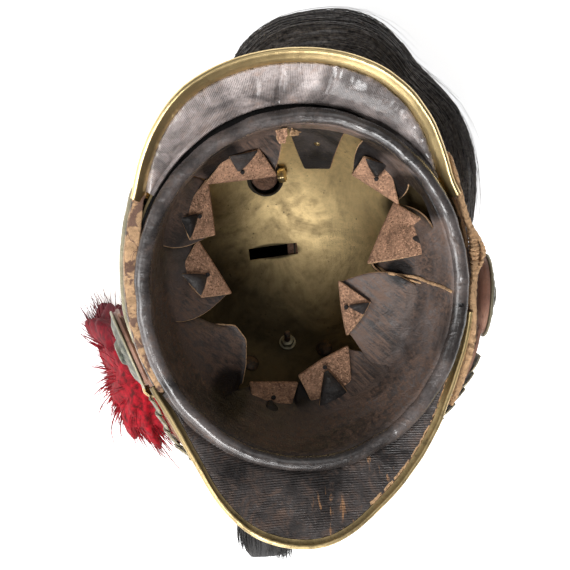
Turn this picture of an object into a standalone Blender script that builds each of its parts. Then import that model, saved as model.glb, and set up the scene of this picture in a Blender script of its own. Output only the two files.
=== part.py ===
"""A horse soldier's brass helmet with a crest, lying crown down on its crest, plume and mane.

Units are metres. The helmet lies with its opening up: +Z runs out of the opening, -Y is its front
and -X is the wearer's left. The floor is z = 0, and the origin is on the flat top of the crest.
"""

import math
from collections import namedtuple

import bmesh
import bpy
from mathutils import Vector

# General clearances: between neighbours, and over the flats of the skull's facets
GAP = 0.0003
FACET_SEAT = 0.0012

# Skull, the brass bowl
SKULL_HALF_WIDTH = 0.098
SKULL_FRONT = 0.110
SKULL_REAR = 0.105
SKULL_DEPTH = 0.145
SKULL_WALL = 0.0013
SKULL_FULLNESS = 0.85
RING_STEPS = 48
SKULL_ROWS = 8

# Crest, a hollow ridge along the crown
CREST_HEIGHT = 0.065
CREST_FRONT = 0.126
CREST_BASE_HALF_WIDTH = 0.0165
CREST_TOP_HALF_WIDTH = 0.0130
CREST_WALL = 0.0012
RIM_Z = CREST_HEIGHT + SKULL_DEPTH

# Openings and fixings in the crown
SLOT_CENTRE = (0.0015, 0.0035)
SLOT_LENGTH = 0.028
SLOT_WIDTH = 0.0068
VENT_CENTRE = (-0.0025, 0.0505)
VENT_RADIUS = 0.0113
VENT_BUSH_WALL = 0.0013
VENT_BUSH_LENGTH = 0.016
VENT_PLUG_LENGTH = 0.006
STUD_CENTRE = (0.0050, -0.0500)
STUD_RADIUS = 0.0016
NUT_RADIUS = 0.0046
NUT_HEIGHT = 0.0028
STUD_HEIGHT = 0.0085
RIVET_CENTRES = {"left": (-0.0170, -0.0590), "right": (0.0290, -0.0550)}
RIVET_RADIUS = 0.0055
RIVET_HEIGHT = 0.0014

# Turban, the spotted hide band round the base of the skull
TURBAN_HEIGHT = 0.060
TURBAN_SEAT = 0.0006
TURBAN_WALL = 0.0028
TURBAN_LIP_WALL = 0.0022
TURBAN_CLEAR_OF_GUARDS = 0.0062
TURBAN_LIP_REACH = 0.0095
TURBAN_STANDOFF = 0.0110

# Peak at the front and guard at the neck
PEAK_REACH = 0.043
NECK_REACH = 0.0295
PEAK_RISE = 0.0245
NECK_RISE = 0.0240
GUARD_WALL = 0.0012
GUARD_ROOT_DROP = 0.0020
PEAK_SKEW_DEG = 1.5
GUARD_STEP_DEG = 3.75
LINING_WALL = 0.0014
LINING_INSET = 0.0035
PEAK_BINDING_WIDTH = 0.0046
NECK_BINDING_WIDTH = 0.0088
BINDING_WALL = 0.0010
BINDING_BEAD = 0.0030

# Liner: padded roll at the mouth and a leather sweatband cut into tongues
LINER_CENTRE = (0.0050, -0.0040)
LINER_SIDE_CLEARANCE = 0.0120
LINER_END_CLEARANCE = 0.0115
LINER_HALF_WIDTH = SKULL_HALF_WIDTH - LINER_SIDE_CLEARANCE
LINER_HALF_LENGTH = (SKULL_FRONT + SKULL_REAR) / 2 - LINER_END_CLEARANCE
ROLL_RADIUS = 0.0047
ROLL_SIDES = 7
ROLL_Z = RIM_Z + GAP + ROLL_RADIUS
BAND_WALL = 0.0016
BAND_DEPTH = 0.046
BAND_LEAN = 0.012
LINER_STEPS = 48
TONGUE_DROP = 0.024
TONGUE_FLAP = 0.022
TONGUE_FOLD_RADIUS = 0.0028
TONGUE_FLAP_RISE = 0.55
TONGUE_CLEAR_OF_BAND = 0.005

# Chin strap with scales, rosettes and ear pads
STRAP_WIDTH = 0.022
STRAP_WALL = 0.0020
STRAP_STANDOFF = 0.0110
STRAP_DROP_SIDE = 0.030
STRAP_DROP_FRONT = 0.040
STRAP_START_DEG = 196.0
STRAP_END_DEG = 344.0
SCALE_COUNT = 9
SCALE_WALL = 0.0010
SCALE_STEP = 0.0014
SCALE_FIRST_DEG = 17.0
SCALE_LAST_DEG = 62.0
ROSETTE_RADIUS = 0.025
ROSETTE_HEIGHT = 0.0085
ROSETTE_SIDES = 20
ROSETTE_SEAT = 0.0006
EAR_PAD_WALL = 0.0016
EAR_PAD_SEAT = 0.0008
EAR_PAD_RADIUS = 0.0155
BUCKLE_HALF_WIDTH = 0.015
BUCKLE_WALL = 0.0024

# Plume and its socket on the wearer's left
SOCKET_SIDE_DEG = 216.998797
SOCKET_CLEARANCE = 0.00046131
SOCKET_RADIUS = 0.0065
SOCKET_WALL = 0.0015
SOCKET_DROP = 0.096
SOCKET_BOTTOM = RIM_Z - SOCKET_DROP
SOCKET_LENGTH = 0.045
PLUME_NECK = 0.003
PLUME_HEIGHT = SOCKET_BOTTOM - PLUME_NECK
PLUME_HALF_WIDTH = 0.028
PLUME_HALF_LENGTH = 0.050
PLUME_SIDES = 26
PLUME_LOCKS = 10
LOCK_DEPTH = 0.13

# Hair: front tuft in its cup, and the mane that lies round the back and the right
CUP_RADIUS = 0.0090
CUP_LENGTH = 0.0135
CUP_Z = 0.017
TUFT_LENGTH = 0.073
TUFT_HALF_WIDTH = 0.0190
TUFT_HALF_HEIGHT = 0.0115
CLASP_RADIUS = 0.011
CLASP_LENGTH = 0.007
MANE_HALF_WIDTH = 0.033
MANE_HALF_HEIGHT = 0.018
MANE_SIDES = 18
MANE_LOCKS = 6

CrestRow = namedtuple("CrestRow", "base_y top_y top_z base_width top_width")
CREST_ROWS = (
    # shares: base along the skull's half length, top along the same, height, and both widths
    CrestRow(-0.910, -0.955, 2.150, 0.55, 0.60),
    CrestRow(-0.880, -1.020, 1.960, 0.80, 0.85),
    CrestRow(-0.835, -1.080, 1.560, 0.92, 1.00),
    CrestRow(-0.765, -1.125, 1.020, 1.00, 1.05),
    CrestRow(-0.675, -1.1455, 0.560, 1.00, 1.05),
    CrestRow(-0.590, -1.1455, 0.110, 1.00, 1.00),
    CrestRow(-0.500, -1.050, 0.000, 1.00, 1.00),
    CrestRow(-0.360, -0.800, 0.000, 1.00, 1.00),
    CrestRow(-0.190, -0.480, 0.000, 1.00, 1.00),
    CrestRow(0.000, -0.140, 0.000, 1.00, 1.00),
    CrestRow(0.190, 0.190, 0.000, 1.00, 1.00),
    CrestRow(0.380, 0.460, 0.060, 1.00, 1.00),
    CrestRow(0.550, 0.690, 0.215, 1.00, 0.96),
    CrestRow(0.690, 0.880, 0.525, 0.95, 0.90),
    CrestRow(0.790, 0.975, 0.950, 0.88, 0.80),
    CrestRow(0.855, 0.990, 1.400, 0.75, 0.66),
    CrestRow(0.885, 0.960, 1.850, 0.55, 0.48),
)

EdgeRow = namedtuple("EdgeRow", "from_middle_deg reach")
PEAK_ROWS = (
    EdgeRow(0.0, 1.000),
    EdgeRow(7.0, 0.960),
    EdgeRow(12.0, 0.830),
    EdgeRow(16.0, 0.730),
    EdgeRow(23.0, 0.600),
    EdgeRow(30.0, 0.480),
    EdgeRow(40.0, 0.345),
    EdgeRow(50.0, 0.240),
    EdgeRow(60.0, 0.150),
)
NECK_ROWS = (
    EdgeRow(0.0, 1.000),
    EdgeRow(18.0, 1.000),
    EdgeRow(26.0, 0.980),
    EdgeRow(33.0, 0.900),
    EdgeRow(40.0, 0.760),
    EdgeRow(48.0, 0.540),
    EdgeRow(56.25, 0.330),
    EdgeRow(60.0, 0.240),
)

TurbanRow = namedtuple("TurbanRow", "angle_deg past_rim lip standoff")
TURBAN_ROWS = (
    # past_rim 1 carries the hide over the rim, 0 stops it short of the peak and neck guard
    TurbanRow(0.0, 1.0, -0.10, 0.42),
    TurbanRow(7.5, 1.0, -0.10, 0.98),
    TurbanRow(15.0, 1.0, -0.10, 0.60),
    TurbanRow(22.5, 0.9, -0.10, 0.25),
    TurbanRow(30.0, 0.0, -0.10, 0.0),
    TurbanRow(150.0, 0.0, -0.10, 0.0),
    TurbanRow(157.5, 1.0, 0.10, 0.05),
    TurbanRow(165.0, 1.0, 0.80, 0.12),
    TurbanRow(180.0, 1.0, 1.00, 0.16),
    TurbanRow(195.0, 1.0, 0.80, 0.06),
    TurbanRow(202.5, 1.0, 0.10, 0.05),
    TurbanRow(210.0, 0.0, -0.10, 0.0),
    TurbanRow(330.0, 0.0, -0.10, 0.0),
    TurbanRow(337.5, 0.9, -0.10, 0.12),
    TurbanRow(345.0, 1.0, -0.10, 0.20),
    TurbanRow(360.0, 1.0, -0.10, 0.42),
)

TongueRow = namedtuple("TongueRow", "name base_from base_to tip_from tip_to near_share far_share drop flap")
TONGUE_ROWS = (
    # degrees round the liner, tip distance as shares of its half size, and lengths as shares
    TongueRow("rear_right", 30.0, 60.0, 32.5, 56.5, 0.830, 0.780, 0.80, 0.30),
    TongueRow("rear_flat", 60.0, 97.5, 64.0, 81.0, 0.715, 0.680, 1.60, 0.00),
    TongueRow("rear_left", 97.5, 127.5, 100.0, 124.0, 0.690, 0.740, 1.00, 0.60),
    TongueRow("left_rear", 127.5, 157.5, 133.0, 152.0, 0.780, 0.660, 1.00, 0.70),
    TongueRow("left_middle", 157.5, 202.5, 162.0, 190.0, 0.700, 0.500, 1.00, 0.80),
    TongueRow("left_front", 202.5, 247.5, 219.0, 242.0, 0.545, 0.720, 1.00, 0.35),
    TongueRow("front_left", 247.5, 270.0, 249.0, 267.5, 0.750, 0.740, 1.00, 0.85),
    TongueRow("front_right", 270.0, 307.5, 273.0, 302.0, 0.700, 0.650, 1.00, 0.95),
    TongueRow("right_front", 307.5, 352.5, 313.0, 345.0, 0.580, 0.400, 1.00, 0.60),
    TongueRow("right_rear", -7.5, 30.0, 1.0, 27.0, 0.560, 0.760, 1.00, 1.00),
)

StrapRow = namedtuple("StrapRow", "share standoff")
STRAP_ROWS = (
    StrapRow(0.00, 0.60),
    StrapRow(0.12, 0.74),
    StrapRow(0.30, 0.90),
    StrapRow(0.50, 0.78),
    StrapRow(0.68, 1.10),
    StrapRow(0.80, 1.25),
    StrapRow(0.90, 1.00),
    StrapRow(1.00, 0.69),
)

PlumeRow = namedtuple("PlumeRow", "height outward forward width length")
PLUME_ROWS = (
    PlumeRow(1.000, 0.00, 0.00, 0.14, 0.08),
    PlumeRow(0.955, 0.06, 0.00, 0.52, 0.42),
    PlumeRow(0.850, 0.18, 0.00, 0.86, 0.76),
    PlumeRow(0.680, 0.32, 0.02, 1.00, 0.96),
    PlumeRow(0.470, 0.42, 0.04, 1.00, 1.00),
    PlumeRow(0.260, 0.48, 0.08, 0.94, 0.97),
    PlumeRow(0.100, 0.50, 0.10, 0.84, 0.86),
    PlumeRow(0.000, 0.50, 0.12, 0.68, 0.70),
)

TuftRow = namedtuple("TuftRow", "along aside width height rise")
TUFT_ROWS = (
    TuftRow(0.00, 0.00, 0.42, 0.66, 1.48),
    TuftRow(0.15, -0.05, 0.70, 0.92, 1.20),
    TuftRow(0.42, -0.16, 0.92, 1.04, 1.04),
    TuftRow(0.70, -0.26, 1.00, 0.96, 0.94),
    TuftRow(0.90, -0.32, 0.90, 0.76, 0.74),
    TuftRow(1.00, -0.36, 0.62, 0.42, 0.42),
)

# The mane's route round the back of the helmet, chosen by hand, with its width and height shares
ManeRow = namedtuple("ManeRow", "x y width height rise")
MANE_ROUTE = (
    ManeRow(0.000, 0.0880, 0.29, 0.52, 1.03),
    ManeRow(0.002, 0.1000, 0.42, 0.72, 0.90),
    ManeRow(0.010, 0.1120, 0.58, 0.86, 0.92),
    ManeRow(0.028, 0.1200, 0.76, 0.95, 0.97),
    ManeRow(0.050, 0.1200, 0.90, 1.00, 1.00),
    ManeRow(0.072, 0.1120, 0.97, 1.00, 1.00),
    ManeRow(0.092, 0.0970, 1.00, 1.00, 1.00),
    ManeRow(0.106, 0.0760, 1.00, 1.00, 1.00),
    ManeRow(0.114, 0.0500, 0.98, 0.97, 0.97),
    ManeRow(0.116, 0.0240, 0.92, 0.90, 0.90),
    ManeRow(0.112, -0.0020, 0.80, 0.78, 0.78),
    ManeRow(0.104, -0.0240, 0.60, 0.60, 0.60),
    ManeRow(0.094, -0.0420, 0.30, 0.34, 0.34),
)

BRASS = ("brass", (0.60, 0.47, 0.22), 0.32, 1.0)
DARK_BRASS = ("dark_brass", (0.33, 0.29, 0.18), 0.45, 1.0)
BLACK_LEATHER = ("black_leather", (0.045, 0.040, 0.040), 0.45, 0.0)
SPOTTED_HIDE = ("spotted_hide", (0.46, 0.27, 0.13), 0.80, 0.0)
STRAP_LEATHER = ("strap_leather", (0.30, 0.16, 0.10), 0.65, 0.0)
BLACK_HAIR = ("black_hair", (0.012, 0.011, 0.012), 0.50, 0.0)
RED_FEATHER = ("red_feather", (0.42, 0.010, 0.020), 0.70, 0.0)
BROWN_WOOD = ("brown_wood", (0.12, 0.06, 0.04), 0.85, 0.0)


def clear_scene():
    for old in list(bpy.data.objects):
        bpy.data.objects.remove(old, do_unlink=True)


def material(look):
    name, colour, roughness, metallic = look
    made = bpy.data.materials.get(name)
    if made is None:
        made = bpy.data.materials.new(name)
        made.use_nodes = True
        shader = made.node_tree.nodes["Principled BSDF"]
        shader.inputs["Base Color"].default_value = (*colour, 1.0)
        shader.inputs["Roughness"].default_value = roughness
        shader.inputs["Metallic"].default_value = metallic
        made.diffuse_color = (*colour, 1.0)
    return made


def finish_object(name, bm, look):
    """Turns a bmesh into a named object whose faces point out."""
    bmesh.ops.recalc_face_normals(bm, faces=bm.faces)
    mesh = bpy.data.meshes.new(name)
    bm.to_mesh(mesh)
    bm.free()
    mesh.materials.append(material(look))
    mesh.shade_smooth()
    mesh.set_sharp_from_angle(angle=math.radians(35))
    made = bpy.data.objects.new(name, mesh)
    bpy.context.scene.collection.objects.link(made)
    return made


def rate(rows, key, value, at):
    """Smooth value of a table's column at a place between its rows."""
    if at <= getattr(rows[0], key):
        return getattr(rows[0], value)
    for low, high in zip(rows, rows[1:]):
        start, end = getattr(low, key), getattr(high, key)
        if at <= end:
            share = (at - start) / (end - start)
            share = share * share * (3 - 2 * share) * 0.35 + share * 0.65
            return getattr(low, value) * (1 - share) + getattr(high, value) * share
    return getattr(rows[-1], value)


def loft(name, rings, look, closed=False, cap="pole"):
    """Skins closed rings of points into one solid. cap "pole" closes each end round its middle,
    "paired" joins the first half of a ring to its second half, as on a folded plate."""
    bm = bmesh.new()
    made = [[bm.verts.new(point) for point in ring] for ring in rings]
    count = len(made[0])
    pairs = list(zip(made, made[1:]))
    if closed:
        pairs.append((made[-1], made[0]))
    for first, second in pairs:
        for i in range(count):
            j = (i + 1) % count
            bm.faces.new((first[i], first[j], second[j], second[i]))
    if not closed:
        for ring in (made[0], made[-1]):
            if cap == "pole":
                middle = bm.verts.new(sum((v.co for v in ring), Vector()) / count)
                for i in range(count):
                    bm.faces.new((ring[i], ring[(i + 1) % count], middle))
            else:
                for i in range(count // 2 - 1):
                    bm.faces.new((ring[i], ring[i + 1], ring[count - 2 - i], ring[count - 1 - i]))
    return finish_object(name, bm, look)


def radial(angle):
    return Vector((math.cos(angle), math.sin(angle), 0.0))


def oval(angle, half_width, front, rear):
    """Distance from the middle to an oval whose front and rear halves differ in length."""
    half_length = rear if math.sin(angle) > 0 else front
    return 1 / math.hypot(math.cos(angle) / half_width, math.sin(angle) / half_length)


def skull_rim(angle, inset=0.0):
    return oval(angle, SKULL_HALF_WIDTH - inset, SKULL_FRONT - inset, SKULL_REAR - inset)


def skull_radius(angle, z, inset=0.0):
    """Distance from the middle to the skull's wall at a height below the rim."""
    drop = min(max((RIM_Z - z) / (SKULL_DEPTH - inset), 0.0), 1.0)
    return skull_rim(angle, inset) * (1 - drop * drop) ** (SKULL_FULLNESS / 2)


def skull_z(x, y, inset=0.0):
    """Height of the skull's wall over a point of the floor."""
    half_length = (SKULL_REAR if y > 0 else SKULL_FRONT) - inset
    share = min(math.hypot(x / (SKULL_HALF_WIDTH - inset), y / half_length), 1.0)
    return RIM_Z - (SKULL_DEPTH - inset) * math.sqrt(1 - share ** (2 / SKULL_FULLNESS))


def socket_centre():
    """Where the plume's socket stands: outside the hide, which it clears at its own upper end."""
    turn = math.radians(SOCKET_SIDE_DEG)
    hide = skull_radius(turn, SOCKET_BOTTOM + SOCKET_LENGTH) + TURBAN_SEAT + TURBAN_WALL
    centre = radial(turn) * (hide + SOCKET_CLEARANCE + SOCKET_RADIUS)
    return centre.x, centre.y


def skull_ring(tilt, inset):
    shrink = math.cos(tilt) ** SKULL_FULLNESS
    z = RIM_Z - (SKULL_DEPTH - inset) * math.sin(tilt)
    ring = []
    for i in range(RING_STEPS):
        angle = math.tau * i / RING_STEPS
        ring.append(radial(angle) * skull_rim(angle, inset) * shrink + Vector((0, 0, z)))
    return ring


def cutter(name, target, rings):
    """A solid that is only cut out of the target."""
    made = loft(name, rings, BRASS)
    made.hide_render = True
    made.display_type = "WIRE"
    cut = target.modifiers.new(name, "BOOLEAN")
    cut.operation = "DIFFERENCE"
    cut.object = made
    return made


def round_ring(centre, radius, sides, z):
    return [
        Vector((centre[0], centre[1], z)) + radial(math.tau * i / sides) * radius for i in range(sides)
    ]


def box_ring(centre, half_x, half_y, z):
    x, y = centre
    return [
        Vector((x + side_x * half_x, y + side_y * half_y, z))
        for side_x, side_y in ((1, 1), (-1, 1), (-1, -1), (1, -1))
    ]


def build_skull():
    tilts = [math.pi / 2 * (i / SKULL_ROWS) ** 0.93 * 0.985 for i in range(SKULL_ROWS + 1)]
    inner = [skull_ring(tilt, SKULL_WALL) for tilt in reversed(tilts)]
    outer = [skull_ring(tilt, 0.0) for tilt in tilts]
    skull = loft("skull", inner + outer, BRASS)
    low, high = CREST_HEIGHT - 0.01, RIM_Z - SKULL_DEPTH / 2
    slot = [box_ring(SLOT_CENTRE, SLOT_LENGTH / 2, SLOT_WIDTH / 2, z) for z in (low, high)]
    cutter("slot_cutter", skull, slot)
    cutter("vent_cutter", skull, [round_ring(VENT_CENTRE, VENT_RADIUS, 20, z) for z in (low, high)])
    wall, normal = skull_wall(STUD_CENTRE)
    hole = [(STUD_RADIUS + GAP, -NUT_RADIUS), (STUD_RADIUS + GAP, NUT_RADIUS)]
    cutter("stud_cutter", skull, turned_rings(wall, normal, hole, 10))
    return skull


def build_crest():
    """A ridge with an open underside: each section is a U that stands on the skull."""
    rings = []
    for row in CREST_ROWS:
        reach = SKULL_REAR if row.base_y > 0 else SKULL_FRONT
        base_y = row.base_y * reach
        top = Vector((0, row.top_y * (SKULL_REAR if row.top_y > 0 else SKULL_FRONT), row.top_z * CREST_HEIGHT))
        base_half = CREST_BASE_HALF_WIDTH * row.base_width
        top_half = CREST_TOP_HALF_WIDTH * row.top_width
        foot = Vector((0, base_y, skull_z(base_half, base_y)))
        lean = (top - foot).normalized()
        foot += lean * 2 * GAP
        inner_top = top - lean * CREST_WALL
        inner_base, inner_half = base_half - CREST_WALL, top_half - CREST_WALL
        outline = [
            foot + Vector((-base_half, 0, 0)),
            top + Vector((-top_half, 0, 0)),
            top + Vector((top_half, 0, 0)),
            foot + Vector((base_half, 0, 0)),
            foot + Vector((inner_base, 0, 0)),
            inner_top + Vector((inner_half, 0, 0)),
            inner_top + Vector((-inner_half, 0, 0)),
            foot + Vector((-inner_base, 0, 0)),
        ]
        rings.append(outline)
    return loft("crest", rings, BRASS, cap="paired")


def skull_wall(centre):
    """Point and normal of the skull's inner face over a point of the floor."""
    x, y = centre
    step = 0.001
    wall = Vector((x, y, skull_z(x, y, SKULL_WALL)))
    slope_x = (skull_z(x + step, y, SKULL_WALL) - wall.z) / step
    slope_y = (skull_z(x, y + step, SKULL_WALL) - wall.z) / step
    return wall, Vector((-slope_x, -slope_y, 1)).normalized()


def turned_rings(origin, axis, profile, sides):
    """Rings round an axis: profile rows are radius and height along it."""
    axis = Vector(axis).normalized()
    side = axis.orthogonal().normalized()
    other = axis.cross(side)
    rings = []
    for radius, height in profile:
        rings.append(
            [
                Vector(origin)
                + axis * height
                + (side * math.cos(math.tau * i / sides) + other * math.sin(math.tau * i / sides)) * radius
                for i in range(sides)
            ]
        )
    return rings


def turned(name, origin, axis, profile, sides, look):
    return loft(name, turned_rings(origin, axis, profile, sides), look)


def tube(name, centre, outer, inner, low, high, sides, look):
    """An upright pipe, open at both ends."""
    rings = [
        round_ring(centre, outer, sides, low),
        round_ring(centre, outer, sides, high),
        round_ring(centre, inner, sides, high),
        round_ring(centre, inner, sides, low),
    ]
    return loft(name, rings, look, closed=True)


def build_crown_fixings():
    wall, normal = skull_wall(STUD_CENTRE)
    seat = FACET_SEAT + NUT_RADIUS**2 / SKULL_FRONT
    stud = [
        (STUD_RADIUS, -SKULL_WALL - 2 * GAP),
        (STUD_RADIUS, seat),
        (NUT_RADIUS, seat),
        (NUT_RADIUS, seat + NUT_HEIGHT),
        (STUD_RADIUS, seat + NUT_HEIGHT),
        (STUD_RADIUS, seat + STUD_HEIGHT),
    ]
    turned("crest_stud", wall, normal, stud, 10, DARK_BRASS)
    for side, centre in RIVET_CENTRES.items():
        wall, normal = skull_wall(centre)
        seat = FACET_SEAT + RIVET_RADIUS**2 / SKULL_FRONT
        rivet = [
            (RIVET_RADIUS, seat),
            (RIVET_RADIUS, seat + RIVET_HEIGHT / 2),
            (RIVET_RADIUS * 0.6, seat + RIVET_HEIGHT),
        ]
        turned(f"crest_rivet_{side}", wall, normal, rivet, 12, DARK_BRASS)


def build_vent():
    top = skull_z(VENT_CENTRE[0], VENT_CENTRE[1] + VENT_RADIUS, SKULL_WALL)
    bush = VENT_RADIUS - GAP
    bottom = top - VENT_BUSH_LENGTH
    tube("vent_bush", VENT_CENTRE, bush, bush - VENT_BUSH_WALL, bottom, top, 20, BRASS)
    plug = bush - VENT_BUSH_WALL - GAP
    rings = [round_ring(VENT_CENTRE, plug, 16, z) for z in (bottom, bottom + VENT_PLUG_LENGTH)]
    loft("vent_plug", rings, BROWN_WOOD)


def build_turban():
    rings = []
    for i in range(RING_STEPS):
        degrees = 360.0 * i / RING_STEPS
        angle = math.radians(degrees)
        past_rim = rate(TURBAN_ROWS, "angle_deg", "past_rim", degrees)
        lip = rate(TURBAN_ROWS, "angle_deg", "lip", degrees) * TURBAN_LIP_REACH
        standoff = rate(TURBAN_ROWS, "angle_deg", "standoff", degrees) * TURBAN_STANDOFF
        short = RIM_Z - TURBAN_CLEAR_OF_GUARDS
        end = short + (RIM_Z + GAP + TURBAN_LIP_WALL - short) * past_rim
        section = []
        for rise in (0.0, 0.25, 0.50, 0.74, 0.90):
            z = RIM_Z - TURBAN_HEIGHT * (1 - rise)
            section.append((skull_radius(angle, z) + TURBAN_SEAT + standoff * rise, z))
        wall = [(radius + TURBAN_WALL, z) for radius, z in section]
        rim = section[-1][0] + standoff * 0.1
        lower = end - TURBAN_LIP_WALL
        outline = wall + [(rim + TURBAN_WALL, end), (rim - lip, end), (rim - lip, lower), (rim, lower)]
        outline += list(reversed(section))
        rings.append([radial(angle) * radius + Vector((0, 0, z)) for radius, z in outline])
    return loft("turban", rings, SPOTTED_HIDE, closed=True)


class Guard:
    """The peak or the neck guard: a flared plate that grows from the skull's rim."""

    def __init__(self, name, middle_deg, rows, reach, rise, skew_deg):
        self.name = name
        self.middle = middle_deg
        self.rows = rows
        self.reach = reach
        self.rise = rise
        self.skew = skew_deg

    def share(self, degrees):
        off = abs(degrees - self.middle - self.skew)
        return rate(self.rows, "from_middle_deg", "reach", off)

    def width(self, degrees):
        """Length of the plate along its slope."""
        return math.hypot(self.reach, self.rise) * self.share(degrees)

    def point(self, degrees, along, off):
        """A point of the guard: along its slope from the root, and off its inner face."""
        angle = math.radians(degrees)
        slope = math.atan2(self.rise, self.reach)
        out, up = radial(angle), Vector((0, 0, 1))
        along_slope = out * math.cos(slope) + up * math.sin(slope)
        normal = up * math.cos(slope) - out * math.sin(slope)
        root = out * (skull_rim(angle) + GAP) + up * (RIM_Z - GUARD_ROOT_DROP)
        return root + along_slope * along + normal * off

    def angles(self, half_span):
        count = round(half_span / GUARD_STEP_DEG)
        return [self.middle + i * GUARD_STEP_DEG for i in range(-count, count + 1)]

    def plate(self, half_span, binding):
        rings = []
        for degrees in self.angles(half_span):
            edge = self.width(degrees)
            stops = (0.0, edge - min(binding, edge * 0.8), edge)
            top = [self.point(degrees, along, 0.0) for along in stops]
            bottom = [self.point(degrees, along, -GUARD_WALL) for along in reversed(stops)]
            rings.append(top + bottom)
        return loft(self.name, rings, BRASS, cap="paired")

    def lining(self, half_span, binding):
        rings = []
        for degrees in self.angles(half_span):
            start, end = LINING_INSET, self.width(degrees) - binding - GAP
            stops = [start + (end - start) * share for share in (0.0, 0.5, 1.0)]
            top = [self.point(degrees, along, GAP + LINING_WALL) for along in stops]
            bottom = [self.point(degrees, along, GAP) for along in reversed(stops)]
            rings.append(top + bottom)
        return loft(f"{self.name}_lining", rings, BLACK_LEATHER, cap="paired")

    def binding(self, half_span, width):
        """A folded brass strip: flat on the inner face and a bead round the edge."""
        rings = []
        for degrees in self.angles(half_span):
            edge = self.width(degrees)
            strip = min(width, edge * 0.8)
            seat = 1.5 * GAP
            outline = (
                (edge - strip, seat + BINDING_WALL),
                (edge + BINDING_BEAD * 0.4, seat + BINDING_WALL + GAP),
                (edge + BINDING_BEAD, 0.0),
                (edge + BINDING_BEAD * 0.7, -GUARD_WALL * 2),
                (edge + seat, -GUARD_WALL * 1.6),
                (edge + seat, -GUARD_WALL * 0.8),
                (edge + seat, seat),
                (edge - strip, seat),
            )
            rings.append([self.point(degrees, along, off) for along, off in outline])
        return loft(f"{self.name}_binding", rings, BRASS, cap="paired")


def build_guards():
    peak = Guard("peak", 270.0, PEAK_ROWS, PEAK_REACH, PEAK_RISE, -PEAK_SKEW_DEG)
    peak.plate(56.25, PEAK_BINDING_WIDTH)
    peak.lining(33.75, PEAK_BINDING_WIDTH)
    peak.binding(56.25, PEAK_BINDING_WIDTH)
    neck = Guard("neck_guard", 90.0, NECK_ROWS, NECK_REACH, NECK_RISE, 0.0)
    neck.plate(56.25, NECK_BINDING_WIDTH)
    neck.lining(45.0, NECK_BINDING_WIDTH)
    neck.binding(56.25, NECK_BINDING_WIDTH)


def liner_radius(angle):
    return oval(angle, LINER_HALF_WIDTH, LINER_HALF_LENGTH, LINER_HALF_LENGTH)


def liner_point(angle, radius, z):
    return Vector((LINER_CENTRE[0], LINER_CENTRE[1], z)) + radial(angle) * radius


def build_roll():
    rings = []
    for i in range(RING_STEPS):
        angle = math.tau * i / RING_STEPS
        middle = liner_radius(angle) + ROLL_RADIUS
        ring = []
        for k in range(ROLL_SIDES):
            turn = math.tau * k / ROLL_SIDES
            z = ROLL_Z + ROLL_RADIUS * math.sin(turn)
            ring.append(liner_point(angle, middle + ROLL_RADIUS * math.cos(turn), z))
        rings.append(ring)
    return loft("liner_roll", rings, BLACK_LEATHER, closed=True)


def tongue_path(base, tip, outward, flap_reach):
    """Points from the band down to the fold, round it, and back along the flap."""
    path = []
    for share in (0.35, 0.7, 1.0):
        point = base.lerp(tip, share)
        point.z -= 0.003 * math.sin(math.pi * share)
        path.append(point)
    if not flap_reach:
        return path
    bend = TONGUE_FOLD_RADIUS
    path.append(tip - outward * bend + Vector((0, 0, bend)))
    path.append(tip + Vector((0, 0, 2.1 * bend)))
    path.append(tip + outward * flap_reach + Vector((0, 0, 2.1 * bend + flap_reach * TONGUE_FLAP_RISE)))
    return path


def build_sweatband():
    """One leather sheet: a band inside the roll, cut below into tongues whose tips fold back."""
    bm = bmesh.new()
    wall = BAND_WALL / 2 + GAP
    rows = []
    for share in (0.0, 0.45, 1.0):
        row = []
        for i in range(LINER_STEPS):
            angle = math.tau * i / LINER_STEPS
            radius = liner_radius(angle) - wall - BAND_LEAN * share**1.3
            row.append(bm.verts.new(liner_point(angle, radius, ROLL_Z - BAND_DEPTH * share)))
        rows.append(row)
    for upper, lower in zip(rows, rows[1:]):
        for i in range(LINER_STEPS):
            j = (i + 1) % LINER_STEPS
            bm.faces.new((upper[i], upper[j], lower[j], lower[i]))
    step = 360.0 / LINER_STEPS
    base_z = ROLL_Z - BAND_DEPTH
    for tongue in TONGUE_ROWS:
        first, last = round(tongue.base_from / step), round(tongue.base_to / step)
        columns = []
        for i in range(first, last + 1):
            share = (i - first) / (last - first)
            degrees = tongue.tip_from * (1 - share) + tongue.tip_to * share
            angle = math.radians(degrees)
            reach = tongue.near_share * (1 - share) + tongue.far_share * share
            tip = liner_point(angle, liner_radius(angle) * reach, base_z - TONGUE_DROP * tongue.drop)
            base = rows[-1][i % LINER_STEPS]
            narrow = 1 - 0.25 * abs(2 * share - 1) ** 2
            room = liner_radius(angle) * (1 - reach) - BAND_LEAN - TONGUE_CLEAR_OF_BAND
            flap = min(TONGUE_FLAP * tongue.flap * narrow, room) if tongue.flap else 0.0
            path = tongue_path(base.co, tip, radial(angle), flap)
            columns.append([base] + [bm.verts.new(point) for point in path])
        for left, right in zip(columns, columns[1:]):
            for k in range(len(left) - 1):
                bm.faces.new((left[k], right[k], right[k + 1], left[k + 1]))
    made = finish_object("sweatband", bm, BLACK_LEATHER)
    thick = made.modifiers.new("thickness", "SOLIDIFY")
    thick.thickness = BAND_WALL
    thick.offset = 0.0
    return made


def strap_point(share):
    """Middle of the chin strap's inner face at a share of its length."""
    degrees = STRAP_START_DEG + (STRAP_END_DEG - STRAP_START_DEG) * share
    angle = math.radians(degrees)
    standoff = rate(STRAP_ROWS, "share", "standoff", share) * STRAP_STANDOFF
    front = math.sin(math.pi * share) ** 2
    z = RIM_Z - STRAP_DROP_SIDE - (STRAP_DROP_FRONT - STRAP_DROP_SIDE) * front
    return radial(angle) * (skull_rim(angle) + standoff) + Vector((0, 0, z))


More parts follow.
